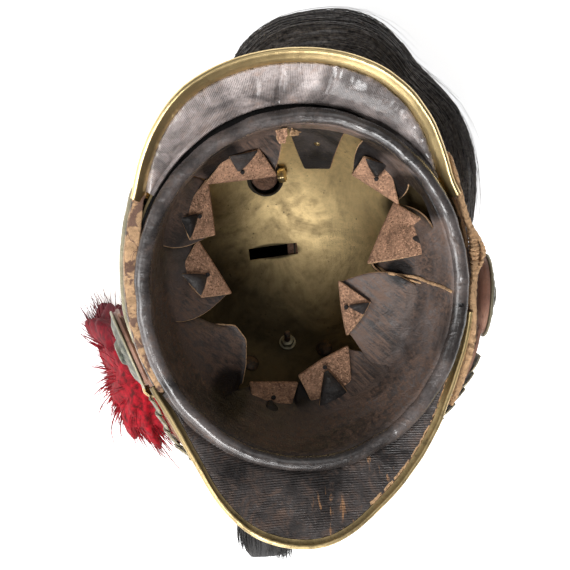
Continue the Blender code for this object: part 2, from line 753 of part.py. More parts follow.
def strap_frame(share):
    """Place and outward direction of the strap's leather."""
    run = strap_point(share + 0.02) - strap_point(share - 0.02)
    return strap_point(share), Vector((run.y, -run.x, 0)).normalized()


def strap_section(share, inner, outer, half_width):
    centre, out = strap_frame(share)
    up = Vector((0, 0, half_width))
    return [
        centre + out * outer - up,
        centre + out * outer + up,
        centre + out * inner + up,
        centre + out * inner - up,
    ]


def build_strap():
    steps = 40
    rings = [strap_section(i / steps, 0.0, STRAP_WALL, STRAP_WIDTH / 2) for i in range(steps + 1)]
    return loft("chin_strap", rings, STRAP_LEATHER, cap="paired")


def build_scales(side):
    """Brass scales that lap towards the front, fused in one run, on the strap's outer face."""
    span = STRAP_END_DEG - STRAP_START_DEG
    rings = []
    base = STRAP_WALL + GAP * 2
    for i in range(SCALE_COUNT):
        for part, rise, width in ((0.02, 1.0, 0.86), (0.45, 0.6, 1.04), (0.98, 0.1, 0.98)):
            degrees = SCALE_FIRST_DEG + (SCALE_LAST_DEG - SCALE_FIRST_DEG) * (i + part) / SCALE_COUNT
            share = degrees / span
            if side == "right":
                share = 1 - share
            outer = base + SCALE_WALL + SCALE_STEP * rise
            ring = strap_section(share, base, outer, STRAP_WIDTH / 2 * width)
            rings.append(ring)
    return loft(f"scales_{side}", rings, DARK_BRASS, cap="paired")


def build_rosette(side):
    share = 0.0 if side == "left" else 1.0
    centre, out = strap_frame(share)
    pad = [(EAR_PAD_RADIUS, 0.0), (EAR_PAD_RADIUS, EAR_PAD_WALL)]
    turned(f"ear_pad_{side}", centre - out * (EAR_PAD_WALL + EAR_PAD_SEAT), out, pad, ROSETTE_SIDES, STRAP_LEATHER)
    seat = STRAP_WALL + ROSETTE_SEAT
    profile = [
        (ROSETTE_RADIUS * 0.6, seat),
        (ROSETTE_RADIUS, seat + 0.0016),
        (ROSETTE_RADIUS, seat + 0.0026),
        (ROSETTE_RADIUS * 0.84, seat + ROSETTE_HEIGHT * 0.46),
        (ROSETTE_RADIUS * 0.55, seat + ROSETTE_HEIGHT * 0.66),
        (ROSETTE_RADIUS * 0.30, seat + ROSETTE_HEIGHT * 0.74),
        (ROSETTE_RADIUS * 0.24, seat + ROSETTE_HEIGHT),
    ]
    turned(f"rosette_{side}", centre, out, profile, ROSETTE_SIDES, DARK_BRASS)


def build_buckle():
    span = math.radians(STRAP_END_DEG - STRAP_START_DEG) * SKULL_FRONT
    shares = [0.5 + BUCKLE_HALF_WIDTH / span * side for side in (-1.0, -0.5, 0.0, 0.5, 1.0)]
    inner = STRAP_WALL + GAP * 2
    rings = [strap_section(share, inner, inner + BUCKLE_WALL, STRAP_WIDTH * 0.6) for share in shares]
    return loft("strap_buckle", rings, DARK_BRASS, cap="paired")


def build_plume():
    centre = socket_centre()
    top = SOCKET_BOTTOM + SOCKET_LENGTH
    inner = SOCKET_RADIUS - SOCKET_WALL
    tube("plume_socket", centre, SOCKET_RADIUS, inner, SOCKET_BOTTOM, top, 14, BRASS)
    stem = [round_ring(centre, inner - GAP, 12, z) for z in (PLUME_HEIGHT + GAP, top - 0.006)]
    loft("plume_stem", stem, BROWN_WOOD)
    out = Vector((centre[0], centre[1], 0)).normalized()
    rings = []
    for row in PLUME_ROWS:
        x = centre[0] + out.x * row.outward * PLUME_HALF_WIDTH
        y = centre[1] + row.forward * PLUME_HALF_LENGTH
        ring = []
        for k in range(PLUME_SIDES):
            turn = math.tau * k / PLUME_SIDES
            lock = 1 + LOCK_DEPTH * math.cos(PLUME_LOCKS * turn + row.height * 3.0)
            ring.append(
                Vector(
                    (
                        x + math.cos(turn) * PLUME_HALF_WIDTH * row.width * lock,
                        y + math.sin(turn) * PLUME_HALF_LENGTH * row.length * lock,
                        PLUME_HEIGHT * row.height,
                    )
                )
            )
        rings.append(ring)
    return loft("plume", rings, RED_FEATHER)


def hair_ring(centre, across, half_width, half_height, sides, locks, phase):
    """A lobed section of hair that lies flat where it meets the floor."""
    ring = []
    for k in range(sides):
        turn = math.tau * k / sides
        lock = 1 + LOCK_DEPTH * 0.6 * math.cos(locks * turn + phase)
        point = centre + across * math.cos(turn) * half_width * lock
        point.z = max(centre.z + math.sin(turn) * half_height * lock, 0.0)
        ring.append(point)
    return ring


def build_tuft():
    start = -CREST_FRONT - GAP
    profile = [
        (CUP_RADIUS * 0.72, 0.0),
        (CUP_RADIUS * 0.80, CUP_LENGTH * 0.4),
        (CUP_RADIUS * 0.66, CUP_LENGTH * 0.55),
        (CUP_RADIUS, CUP_LENGTH),
    ]
    turned("tuft_cup", (0, start, CUP_Z), (0, -1, 0), profile, 14, BRASS)
    rings = []
    for row in TUFT_ROWS:
        y = start - CUP_LENGTH - GAP - TUFT_LENGTH * row.along
        centre = Vector((row.aside * TUFT_HALF_WIDTH, y, row.rise * TUFT_HALF_HEIGHT))
        half_width, half_height = TUFT_HALF_WIDTH * row.width, TUFT_HALF_HEIGHT * row.height
        rings.append(hair_ring(centre, Vector((1, 0, 0)), half_width, half_height, 16, 5, row.along * 2))
    return loft("tuft", rings, BLACK_HAIR)


def build_mane():
    low, high = CREST_ROWS[12], CREST_ROWS[13]
    contour = [
        Vector((0, row.top_y * SKULL_REAR, row.top_z * CREST_HEIGHT)) for row in (low, high)
    ]
    along = (contour[1] - contour[0]).normalized()
    out = Vector((0, along.z, -along.y))
    seat = (contour[0] + contour[1]) / 2 + out * GAP
    profile = [(CLASP_RADIUS * 0.9, 0.0), (CLASP_RADIUS, CLASP_LENGTH * 0.5), (CLASP_RADIUS * 0.9, CLASP_LENGTH)]
    turned("mane_clasp", seat, out, profile, 14, BRASS)
    root = seat + out * (CLASP_LENGTH + GAP)
    points = [Vector((row.x, row.y, row.rise * MANE_HALF_HEIGHT)) for row in MANE_ROUTE]
    rings = []
    side = Vector((1, 0, 0))
    first = MANE_ROUTE[0]
    root_half = first.width * MANE_HALF_WIDTH
    other = out.cross(side)
    ring = []
    for k in range(MANE_SIDES):
        turn = math.tau * k / MANE_SIDES
        ring.append(root + (side * math.cos(turn) - other * math.sin(turn)) * root_half)
    rings.append(ring)
    for i in range(1, len(points)):
        before, after = points[i - 1], points[min(i + 1, len(points) - 1)]
        heading = (after - before).normalized()
        across = Vector((heading.y, -heading.x, 0)).normalized()
        row = MANE_ROUTE[i]
        half_width, half_height = MANE_HALF_WIDTH * row.width, MANE_HALF_HEIGHT * row.height
        rings.append(hair_ring(points[i], across, half_width, half_height, MANE_SIDES, MANE_LOCKS, i * 0.35))
    return loft("mane", rings, BLACK_HAIR)


def main():
    clear_scene()
    build_skull()
    build_crest()
    build_crown_fixings()
    build_vent()
    build_turban()
    build_guards()
    build_roll()
    build_sweatband()
    build_strap()
    for side in ("left", "right"):
        build_scales(side)
        build_rosette(side)
    build_buckle()
    build_plume()
    build_tuft()
    build_mane()


main()
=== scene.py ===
"""A horse soldier's crested brass helmet, lying crown down with its liner open to the camera."""

import math
import random
from collections import namedtuple

import bmesh
import bpy
from bpy.props import FloatProperty, FloatVectorProperty, IntProperty, PointerProperty
from mathutils import Matrix, Vector, noise
from mathutils.bvhtree import BVHTree


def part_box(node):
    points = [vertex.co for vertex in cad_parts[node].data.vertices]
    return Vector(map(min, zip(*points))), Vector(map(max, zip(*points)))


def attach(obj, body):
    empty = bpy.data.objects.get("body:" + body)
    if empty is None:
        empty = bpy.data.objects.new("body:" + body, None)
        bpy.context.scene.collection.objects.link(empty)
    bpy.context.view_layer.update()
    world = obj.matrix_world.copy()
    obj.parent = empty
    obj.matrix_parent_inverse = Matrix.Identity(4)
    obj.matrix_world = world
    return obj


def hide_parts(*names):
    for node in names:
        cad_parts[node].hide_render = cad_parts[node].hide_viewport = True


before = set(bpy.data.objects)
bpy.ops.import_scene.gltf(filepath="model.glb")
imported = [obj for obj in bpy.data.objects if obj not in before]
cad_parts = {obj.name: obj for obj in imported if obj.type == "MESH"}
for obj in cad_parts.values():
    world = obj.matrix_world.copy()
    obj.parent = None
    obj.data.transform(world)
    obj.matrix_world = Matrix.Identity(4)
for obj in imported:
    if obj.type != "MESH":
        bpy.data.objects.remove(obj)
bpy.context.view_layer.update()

bl_info = {
    "name": "Crested Helmet",
    "version": (1, 0, 0),
    "blender": (4, 5, 0),
    "location": "View3D > Sidebar > Helmet",
    "description": "Builds a brass cavalry helmet with its leather liner, chin scales, plume and mane",
    "category": "Object",
}

# Sizes in metres: the skull's come from its solid, and the others fit the photograph
RIM_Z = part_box("skull")[1].z
CREST_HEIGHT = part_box("skull")[0].z
SKULL_HALF_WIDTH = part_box("skull")[1].x
SKULL_FRONT = -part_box("skull")[0].y
SKULL_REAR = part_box("skull")[1].y
SKULL_DEPTH = RIM_Z - CREST_HEIGHT
SKULL_FULLNESS = 0.85
SLOT_CENTRE = Vector((0.002, 0.0025))
SLOT_TURN_DEG = 4.0
SLOT_SIZE = (0.031, 0.0072)
VENT_RADIUS = 0.0113
VENT_CENTRE = Vector((-0.0025, 0.0505))
STUD_CENTRE = Vector((0.0062, -0.0545))
LINER_CENTRE = Vector((0.0038, -0.004))
LINER_HALF_WIDTH = 0.0872
LINER_HALF_LENGTH = 0.096
ROLL_RADIUS = 0.0043
ROLL_Z = RIM_Z + 0.005
BAND_DEPTH = 0.046
BAND_LEAN = 0.012
STRAP_WALL = 0.002
STRAP_WIDTH = 0.022
STRAP_STANDOFF = 0.011
STRAP_TOP = STRAP_WALL + 0.0006
CREST_BASE_HALF = 0.0165
CREST_TOP_HALF = 0.013
HIDE_HEIGHT = 0.06
HIDE_SEAT = 0.0006
HIDE_WALL = 0.0028
HIDE_LIP_WALL = 0.0022
HIDE_LIP = 0.0095
HIDE_STANDOFF = 0.011
LINER_BULGES = (
    # where the mouth departs from an oval: degrees round it, metres, and how narrow the bulge is
    (180.0, 0.0026, 2.0), (150.0, 0.0022, 6.0), (256.0, 0.0028, 1.5), (335.0, -0.001, 2.0),
)

# Camera, as far off and turned as in the photograph
EYE_SIDE_DEG = 7.0
EYE_BACK_DEG = 7.0
EYE_ROLL_DEG = 3.1
EYE_DISTANCE = 1.5
PIXELS_PER_METRE = 1724.0
PICTURE_SIDE = 570
MOUTH_PIXEL = (299.3, 281.0)


class HelmetSizes(bpy.types.PropertyGroup):
    """Sizes and counts that a user would change."""

    brass_wall: FloatProperty(
        name="Brass wall",
        description="Thickness of the skull's sheet brass",
        default=0.0013,
        unit="LENGTH",
    )
    leather_wall: FloatProperty(
        name="Leather wall",
        description="Thickness of the sweatband's leather",
        default=0.0016,
        unit="LENGTH",
    )
    mane_hairs: IntProperty(
        name="Mane hairs",
        description="Number of loose hairs over the mane",
        default=1500,
    )
    tuft_hairs: IntProperty(
        name="Tuft hairs",
        description="Number of loose hairs in the front tuft",
        default=800,
    )
    plume_barbs: IntProperty(
        name="Plume barbs",
        description="Number of barbs in the side plume",
        default=2350,
    )
    scales: IntProperty(
        name="Chin scales",
        description="Number of scales on each side of the chin strap",
        default=9,
    )


class HelmetColours(bpy.types.PropertyGroup):
    """Colours that a user would change."""

    brass: FloatVectorProperty(
        name="Brass",
        description="Colour of clean brass",
        default=(0.66, 0.5, 0.25),
        subtype="COLOR",
    )
    patina: FloatVectorProperty(
        name="Patina",
        description="Colour of the dull film on the brass",
        default=(0.13, 0.1, 0.055),
        subtype="COLOR",
    )
    leather: FloatVectorProperty(
        name="Black leather",
        description="Colour of the liner's grain side",
        default=(0.014, 0.012, 0.0115),
        subtype="COLOR",
    )
    suede: FloatVectorProperty(
        name="Suede",
        description="Colour of the liner's flesh side",
        default=(0.37, 0.212, 0.134),
        subtype="COLOR",
    )
    raw_edge: FloatVectorProperty(
        name="Raw edge",
        description="Colour of cut leather",
        default=(0.52, 0.32, 0.17),
        subtype="COLOR",
    )
    plume: FloatVectorProperty(
        name="Plume",
        description="Colour of the feathers",
        default=(0.4, 0.002, 0.01),
        subtype="COLOR",
    )
    hair: FloatVectorProperty(
        name="Hair",
        description="Colour of the horsehair",
        default=(0.01, 0.009, 0.01),
        subtype="COLOR",
    )


# Finishes


class Finish:
    """A material made of nodes that read the piece's own space."""

    def __init__(self, name, roughness, metallic=0.0):
        self.material = bpy.data.materials.new(name)
        self.material.use_nodes = True
        self.tree = self.material.node_tree
        self.shader = self.tree.nodes["Principled BSDF"]
        self.shader.inputs["Roughness"].default_value = roughness
        self.shader.inputs["Metallic"].default_value = metallic
        self.place = self.tree.nodes.new("ShaderNodeTexCoord").outputs["Object"]
        run = self.tree.nodes.new("ShaderNodeAttribute")
        run.attribute_name = "run"
        self.run = run.outputs["Vector"]

    def node(self, kind, sockets=(), **settings):
        made = self.tree.nodes.new(kind)
        for key, value in settings.items():
            setattr(made, key, value)
        for key, value in dict(sockets).items():
            self.feed(made.inputs[key], value)
        return made

    def feed(self, socket, value):
        if isinstance(value, bpy.types.NodeSocket):
            self.tree.links.new(value, socket)
        elif socket.type == "RGBA" and len(value) == 3:
            socket.default_value = (*value, 1.0)
        else:
            socket.default_value = value

    def near(self, centre, reach, across=None):
        """1 inside an ellipse round a point of the plan, and 0 outside it."""
        away = self.node("ShaderNodeVectorMath", {0: self.place, 1: (*centre, 0.0)}, operation="SUBTRACT")
        shares = (1 / reach, 1 / (across or reach), 0.0)
        scaled = self.node("ShaderNodeVectorMath", {0: away.outputs[0], 1: shares}, operation="MULTIPLY")
        length = self.node("ShaderNodeVectorMath", {0: scaled.outputs[0]}, operation="LENGTH")
        return self.spread(length.outputs["Value"], 0.85, 1.25, 1.0, 0.0)

    def set(self, **values):
        for key, value in values.items():
            self.feed(self.shader.inputs[key.replace("_", " ")], value)
        return self

    def stretch(self, scale, place=None):
        sockets = {"Vector": place or self.place, "Scale": scale}
        return self.node("ShaderNodeMapping", sockets).outputs["Vector"]

    def noise(self, scale, detail=4.0, roughness=0.55, distortion=0.0, place=None):
        sockets = {
            "Vector": place or self.place,
            "Scale": scale,
            "Detail": detail,
            "Roughness": roughness,
            "Distortion": distortion,
        }
        return self.node("ShaderNodeTexNoise", sockets).outputs["Fac"]

    def cells(self, scale, feature="F1"):
        sockets = {"Vector": self.place, "Scale": scale}
        return self.node("ShaderNodeTexVoronoi", sockets, feature=feature).outputs["Distance"]

    def bands(self, scale, direction, distortion=0.0, detail=2.0, place=None):
        sockets = {
            "Vector": place or self.place,
            "Scale": scale,
            "Distortion": distortion,
            "Detail": detail,
            "Detail Scale": 2.0,
        }
        made = self.node("ShaderNodeTexWave", sockets, wave_type="BANDS", bands_direction=direction)
        return made.outputs["Fac"]

    def spread(self, value, low, high, to_low=0.0, to_high=1.0):
        sockets = {0: value, 1: low, 2: high, 3: to_low, 4: to_high}
        return self.node("ShaderNodeMapRange", sockets, clamp=True).outputs[0]

    def math(self, operation, first, second=0.0):
        return self.node("ShaderNodeMath", {0: first, 1: second}, operation=operation).outputs[0]

    def times(self, first, second):
        return self.math("MULTIPLY", first, second)

    def plus(self, first, second):
        return self.math("ADD", first, second)

    def blend(self, share, first, second):
        made = self.node("ShaderNodeMix", data_type="RGBA")
        self.feed(made.inputs[0], share)
        self.feed(made.inputs[6], first)
        self.feed(made.inputs[7], second)
        return made.outputs[2]

    def bump(self, height, depth, strength=1.0, under=None):
        sockets = {"Height": height, "Distance": depth, "Strength": strength}
        if under is not None:
            sockets["Normal"] = under
        return self.node("ShaderNodeBump", sockets).outputs["Normal"]

    def pick(self, axis, place=None):
        made = self.node("ShaderNodeSeparateXYZ", {0: place or self.place})
        return made.outputs[axis]


def colours():
    """The colours of the scene's property group."""
    return bpy.context.scene.helmet_colours


def sizes():
    """The sizes of the scene's property group."""
    return bpy.context.scene.helmet_sizes


def tone(colour, factor):
    """A colour made darker or lighter."""
    return tuple(min(channel * factor, 1.0) for channel in colour)


def bowl_brass():
    """Spun brass, dulled in patches, with fine scratches and dark spots, and painted shade inside towards the
    front left, round the slot and in a patch at the right rear.
    """
    made = Finish("bowl_brass", 0.45, 0.82)
    clean, film = tone(tuple(colours().brass), 1.2), tone(tuple(colours().patina), 0.9)
    patches = made.spread(made.noise(26.0, 8.0, 0.68, 0.8), 0.4, 0.66)
    fine = made.spread(made.noise(160.0, 5.0, 0.6), 0.45, 0.7)
    specks = made.spread(made.cells(300.0), 0.08, 0.24, 1.0, 0.0)
    specks = made.times(specks, made.spread(made.noise(60.0), 0.52, 0.62))
    ways = []
    for scale, run in ((38.0, (1.0, 6.0, 2.0)), (34.0, (6.0, 1.0, 2.0))):
        scratch = made.noise(scale, 7.0, 0.7, 2.4, made.stretch(run))
        rise, fall = made.spread(scratch, 0.495, 0.505), made.spread(scratch, 0.505, 0.515, 1.0, 0.0)
        ways.append(made.times(rise, fall))
    lines = made.plus(*ways)
    where = made.node("ShaderNodeVectorMath", {0: made.place, 1: (0.038, 0.004, 0.09)}, operation="DISTANCE")
    rubbed = made.spread(where.outputs["Value"], 0.008, 0.026, 1.0, 0.18)
    lines = made.times(lines, rubbed)
    film_share = made.times(patches, 0.62)
    film_share = made.plus(film_share, made.times(fine, 0.22))
    # Painted shade: the inside darkens towards the front left, round the slot and in a patch at the right
    # rear.
    slope = made.node("ShaderNodeVectorMath", {0: made.place, 1: (0.62, 0.78, 0.0)}, operation="DOT_PRODUCT")
    painted_shade = made.plus(slope.outputs["Value"], made.times(made.noise(30.0), 0.022))
    painted_shade = made.spread(painted_shade, -0.016, 0.046, 1.0, 0.0)
    inside = made.spread(made.pick("Z", made.node("ShaderNodeNewGeometry").outputs["Normal"]), -0.2, 0.2)
    painted_shade = made.times(painted_shade, inside)
    painted_shade = made.math("MAXIMUM", painted_shade, made.near(SLOT_CENTRE, 0.0166, 0.0052))
    painted_shade = made.math("MAXIMUM", painted_shade, made.near((0.0825, 0.033), 0.015))
    colour = made.blend(film_share, clean, film)
    colour = made.blend(made.times(specks, 0.8), colour, tone(film, 0.45))
    colour = made.blend(lines, colour, tone(film, 0.25))
    colour = made.blend(made.times(painted_shade, 0.92), colour, tone(film, 0.22))
    made.set(Base_Color=colour)
    rough = made.spread(film_share, 0.0, 0.7, 0.52, 0.72)
    made.set(Roughness=made.plus(rough, made.times(painted_shade, 0.12)))
    ripple = made.bump(made.noise(45.0, 3.0, 0.5), 0.0012, 0.5)
    made.set(Normal=made.bump(made.plus(fine, lines), 0.00014, 0.4, ripple))
    return made.material


def painted_shade_brass():
    """Brass painted near black as shade, for hollows where no light reaches."""
    made = Finish("painted_shade_brass", 0.85, 0.15)
    patches = made.spread(made.noise(90.0, 5.0, 0.6), 0.4, 0.66)
    made.set(Base_Color=made.blend(patches, (0.01, 0.008, 0.005), (0.032, 0.022, 0.012)))
    made.set(Normal=made.bump(made.noise(420.0, 5.0, 0.65), 0.0003, 0.7))
    return made.material


def trim_brass(name, dull, shine, painted_shade_left=False):
    """Rolled brass trim, bright where it is rubbed and brown in its corners."""
    made = Finish(name, shine, 1.0)
    clean, film = tuple(colours().brass), tuple(colours().patina)
    patches = made.spread(made.noise(70.0, 6.0, 0.65, 0.8), 0.42, 0.68)
    fine = made.spread(made.noise(620.0, 4.0, 0.6), 0.5, 0.72)
    rubbed = made.node("ShaderNodeNewGeometry").outputs["Pointiness"]
    worn = made.spread(rubbed, 0.47, 0.55)
    share = made.plus(made.times(patches, dull), made.times(fine, dull * 0.5))
    share = made.math("SUBTRACT", share, made.times(worn, 0.15))
    share = made.math("MAXIMUM", share, 0.0)
    # Painted shade: the left side takes the dark film colour, dulling what the left lamp lights.
    if painted_shade_left:
        left = made.spread(made.pick("X"), -0.09, -0.05, 0.96, 0.0)
        share = made.math("MAXIMUM", share, left)
    made.set(Base_Color=made.blend(share, tone(clean, 1.08), film))
    made.set(Roughness=made.spread(share, 0.0, 0.6, shine, 0.6))
    dents = made.bump(made.noise(110.0, 3.0, 0.5), 0.0006, 0.35)
    made.set(Normal=made.bump(made.noise(900.0, 3.0, 0.6), 0.00006, 0.5, dents))
    return made.material


def tarnished_brass():
    """Brass gone grey green and brown, as on the chin scales and rosettes."""
    made = Finish("tarnished_brass", 0.5, 0.75)
    patches = made.spread(made.noise(110.0, 6.0, 0.68, 0.5), 0.38, 0.62)
    green = made.spread(made.noise(300.0, 5.0, 0.65), 0.48, 0.62)
    base = made.blend(patches, (0.115, 0.105, 0.075), (0.026, 0.028, 0.022))
    base = made.blend(made.times(green, 0.55), base, (0.15, 0.165, 0.12))
    worn = made.spread(made.node("ShaderNodeNewGeometry").outputs["Pointiness"], 0.51, 0.57)
    made.set(Base_Color=made.blend(made.times(worn, 0.5), base, (0.45, 0.4, 0.27)))
    made.set(Roughness=made.spread(patches, 0.0, 1.0, 0.38, 0.66))
    made.set(Normal=made.bump(made.noise(380.0, 6.0, 0.68), 0.0004, 0.8))
    return made.material


def black_leather(
    name,
    wear,
    gloss,
    pebble,
    ribs,
    pale,
    rib_scale=150.0,
    ribs_across=False,
    streaks=0.0,
    left_painted_shade=False,
    marks=(),
    shade=(),
    pit=None,
):
    """Dark grain leather: pebbled, creased, and rubbed to brown on its high places."""
    made = Finish(name, gloss)
    base = tone(tuple(colours().leather), pale)
    brown = tone((0.1, 0.064, 0.048), 0.7 + 0.12 * pale)
    wide = made.noise(24.0, 5.0, 0.6, 0.6)
    scuff = made.spread(made.noise(62.0, 8.0, 0.74, 1.2), 0.5, 0.66)
    fine_scuff = made.spread(made.noise(330.0, 5.0, 0.7), 0.52, 0.68)
    worn = made.times(scuff, made.spread(wide, 0.44, 0.58))
    worn = made.plus(worn, made.times(fine_scuff, 0.28))
    if streaks:
        down = made.noise(1.0, 7.0, 0.72, 0.3, made.stretch((420.0, 9.0, 60.0), made.run))
        rubbed = made.spread(down, 0.42, 0.64, 0.0, streaks)
        worn = made.plus(worn, made.times(rubbed, made.spread(made.noise(17.0), 0.36, 0.56)))
    worn = made.times(worn, wear)
    worn = made.math("MINIMUM", worn, 1.0)
    grey = made.blend(made.spread(wide, 0.4, 0.62), tone(base, 0.36), tone(base, 1.8))
    grey = made.blend(made.spread(made.noise(520.0, 4.0, 0.7), 0.4, 0.7, 0.0, 0.5), grey, tone(base, 0.4))
    # Painted shade: the left side, below x of zero, is darkened.
    if left_painted_shade:
        grey = made.blend(made.spread(made.pick("X"), 0.0, 0.06, 0.62, 0.0), grey, tone(base, 0.34))
    colour = made.blend(worn, grey, brown)
    for centre, reach in marks:
        lines = made.noise(1.0, 3.0, 0.6, 0.2, made.stretch((420.0, 70.0, 60.0)))
        lines = made.times(made.spread(lines, 0.6, 0.66), made.near(centre, reach))
        colour = made.blend(lines, colour, (0.28, 0.15, 0.075))
    # Painted shadow: near black round each of these places.
    for centre, reach in shade:
        hollow = made.times(made.near(centre, reach), 0.94)
        colour = made.blend(hollow, colour, (0.005, 0.004, 0.004))
    # Painted shade: a near-black spot standing for the dark of a pit.
    if pit:
        colour = made.blend(made.near(*pit), colour, (0.004, 0.003, 0.003))
    made.set(Base_Color=colour)
    rough = made.spread(made.noise(150.0, 5.0, 0.65), 0.35, 0.7, gloss - 0.1, gloss + 0.16)
    made.set(Roughness=made.plus(rough, made.times(worn, 0.25)))
    made.set(Specular_IOR_Level=0.36)
    if gloss < 0.32:
        shine = made.spread(made.noise(45.0, 5.0, 0.65, 0.8), 0.36, 0.58, 0.25, 0.85)
        made.set(Coat_Weight=shine, Coat_Roughness=0.17)
    creases = made.noise(60.0, 6.0, 0.62, 1.2, made.stretch((1.0, 2.2, 1.4)))
    under = made.bump(creases, 0.0022, 0.5)
    grain = made.cells(1000.0, "SMOOTH_F1")
    under = made.bump(grain, 0.0003 * pebble, 0.8, under)
    if ribs:
        where, axis = (made.place, "Y") if ribs_across else (made.run, "X")
        lines = made.bands(rib_scale, axis, 1.2, 2.0, place=where)
        broken = made.times(lines, made.spread(made.noise(110.0), 0.38, 0.55, 0.15, 1.0))
        under = made.bump(broken, 0.0004 * ribs, 0.9, under)
    made.set(Normal=under)
    return made.material


def suede(name="suede"):
    """The liner leather's flesh side: brown, napped, with paler and darker flecks."""
    made = Finish(name, 0.94)
    base = tuple(colours().suede)
    nap = made.noise(640.0, 6.0, 0.75, 0.4)
    fleck = made.spread(made.cells(620.0), 0.08, 0.34, 1.0, 0.0)
    patch = made.spread(made.noise(70.0, 6.0, 0.65, 0.8), 0.36, 0.64)
    colour = made.blend(patch, tone(base, 0.55), tone(base, 1.25))
    colour = made.blend(made.times(fleck, 0.55), colour, tone(base, 0.22))
    colour = made.blend(made.spread(nap, 0.5, 0.66, 0.0, 0.75), colour, tone(base, 2.3))
    colour = made.blend(made.spread(nap, 0.3, 0.44, 0.8, 0.0), colour, tone(base, 0.25))
    made.set(Base_Color=colour, Specular_IOR_Level=0.2)
    made.set(Normal=made.bump(made.math("SUBTRACT", nap, made.times(fleck, 0.5)), 0.0016, 0.9))
    return made.material


def raw_edge(name):
    """Cut leather: tan, fibrous and dirty in its pits."""
    made = Finish(name, 0.85)
    base = tuple(colours().raw_edge)
    fibre = made.noise(260.0, 7.0, 0.72, 1.0)
    pits = made.spread(made.noise(700.0, 4.0, 0.7), 0.56, 0.7)
    colour = made.blend(made.spread(fibre, 0.35, 0.68), tone(base, 0.6), tone(base, 1.2))
    colour = made.blend(made.times(pits, 0.7), colour, (0.07, 0.035, 0.02))
    made.set(Base_Color=colour)
    made.set(Normal=made.bump(made.plus(fibre, pits), 0.0007, 0.8))
    return made.material


def spotted_fur():
    """Short fur with dark brown spots on tan."""
    made = Finish("spotted_fur", 0.75)
    spots = made.spread(made.noise(58.0, 3.0, 0.5, 0.9), 0.5, 0.56)
    hairs = made.noise(900.0, 3.0, 0.7, 0.4, made.stretch((1.0, 1.0, 0.16)))
    tan = made.blend(made.spread(hairs, 0.3, 0.7), (0.2, 0.105, 0.045), (0.42, 0.25, 0.12))
    dark = made.blend(made.spread(hairs, 0.3, 0.7), (0.02, 0.01, 0.006), (0.075, 0.04, 0.022))
    made.set(Base_Color=made.blend(spots, tan, dark), Sheen_Weight=0.3)
    made.set(Normal=made.bump(hairs, 0.0009, 0.9))
    return made.material


def flesh_side():
    """Inner face of the hide: tan with patches where fur and dirt show."""
    made = Finish("hide_flesh", 0.8)
    base = tuple(colours().raw_edge)
    fibre = made.noise(330.0, 6.0, 0.7, 0.8)
    stains = made.spread(made.noise(120.0, 5.0, 0.65, 0.8), 0.49, 0.56)
    colour = made.blend(made.spread(fibre, 0.35, 0.7), tone(base, 0.5), tone(base, 1.15))
    colour = made.blend(made.times(stains, 0.85), colour, (0.075, 0.034, 0.028))
    made.set(Base_Color=colour)
    made.set(Normal=made.bump(fibre, 0.0007, 0.8))
    return made.material


def strap_leather():
    """Red brown strap leather in patches, darker in fibrous flecks."""
    made = Finish("strap_leather", 0.68)
    fibre = made.noise(190.0, 6.0, 0.65, 0.6)
    patch = made.spread(made.noise(40.0, 4.0, 0.6), 0.38, 0.66)
    colour = made.blend(patch, (0.2, 0.095, 0.065), (0.34, 0.19, 0.13))
    colour = made.blend(made.spread(fibre, 0.52, 0.72, 0.0, 0.7), colour, (0.08, 0.035, 0.025))
    made.set(Base_Color=colour)
    made.set(Normal=made.bump(fibre, 0.0005, 0.7))
    return made.material


def hair_finish(name, colour, gloss, light):
    """Hair or feather: each strand a little different, with long streaks."""
    made = Finish(name, gloss)
    streak = made.noise(420.0, 4.0, 0.7)
    patch = made.noise(45.0, 4.0, 0.6)
    share = made.times(made.spread(streak, 0.35, 0.7), made.spread(patch, 0.3, 0.7, 0.4, 1.0))
    made.set(Base_Color=made.blend(share, tone(colour, 0.55), light))
    made.set(Specular_IOR_Level=0.45)
    return made


def horsehair(name="horsehair", light=(0.25, 0.22, 0.2), gloss=0.3):
    """Black horsehair with paler strands."""
    return hair_finish(name, tuple(colours().hair), gloss, light).material


def feather():
    """Red feather, darker in streaks, with painted shade darkening it towards the back."""
    red = tuple(colours().plume)
    made = hair_finish("feather", red, 0.75, (0.62, 0.004, 0.02))
    streak = made.spread(made.noise(240.0, 5.0, 0.65), 0.36, 0.66)
    # Painted shade: the feathers darken towards the back.
    back = made.plus(made.pick("Y"), made.times(made.noise(70.0), 0.03))
    dark = made.spread(back, -0.052, -0.012)
    bright = made.blend(streak, tone(red, 0.16), (0.36, 0.002, 0.012))
    made.set(Base_Color=made.blend(made.times(dark, 0.85), bright, (0.075, 0.002, 0.008)))
    made.set(Specular_IOR_Level=0.15)
    return made.material


def old_wood():
    """Rusty brown end grain, rough and crumbly."""
    made = Finish("old_wood", 0.88)
    rings = made.noise(330.0, 6.0, 0.75, 1.4)
    colour = made.blend(made.spread(rings, 0.35, 0.65), (0.04, 0.02, 0.013), (0.2, 0.105, 0.065))
    made.set(Base_Color=colour)
    made.set(Normal=made.bump(rings, 0.0016, 0.9))
    return made.material


def old_iron():
    """Dark iron with brown rust."""
    made = Finish("old_iron", 0.6, 0.7)
    rust = made.spread(made.noise(350.0, 6.0, 0.7), 0.42, 0.62)
    made.set(Base_Color=made.blend(rust, (0.045, 0.038, 0.032), (0.13, 0.075, 0.04)))
    made.set(Normal=made.bump(made.noise(900.0, 4.0, 0.6), 0.0003, 0.7))
    return made.material


# Mesh helpers


def extrude_row(bm, row, edges):
    """Extrudes a chain, and gives the new chain's points in the same order, and its edges."""
    made = bmesh.ops.extrude_edge_only(bm, edges=edges)["geom"]
    fresh = {v for v in made if isinstance(v, bmesh.types.BMVert)}
    row = [next(e.other_vert(v) for e in v.link_edges if e.other_vert(v) in fresh) for v in row]
    edges = [e for e in made if isinstance(e, bmesh.types.BMEdge) and fresh.issuperset(e.verts)]
    return row, edges


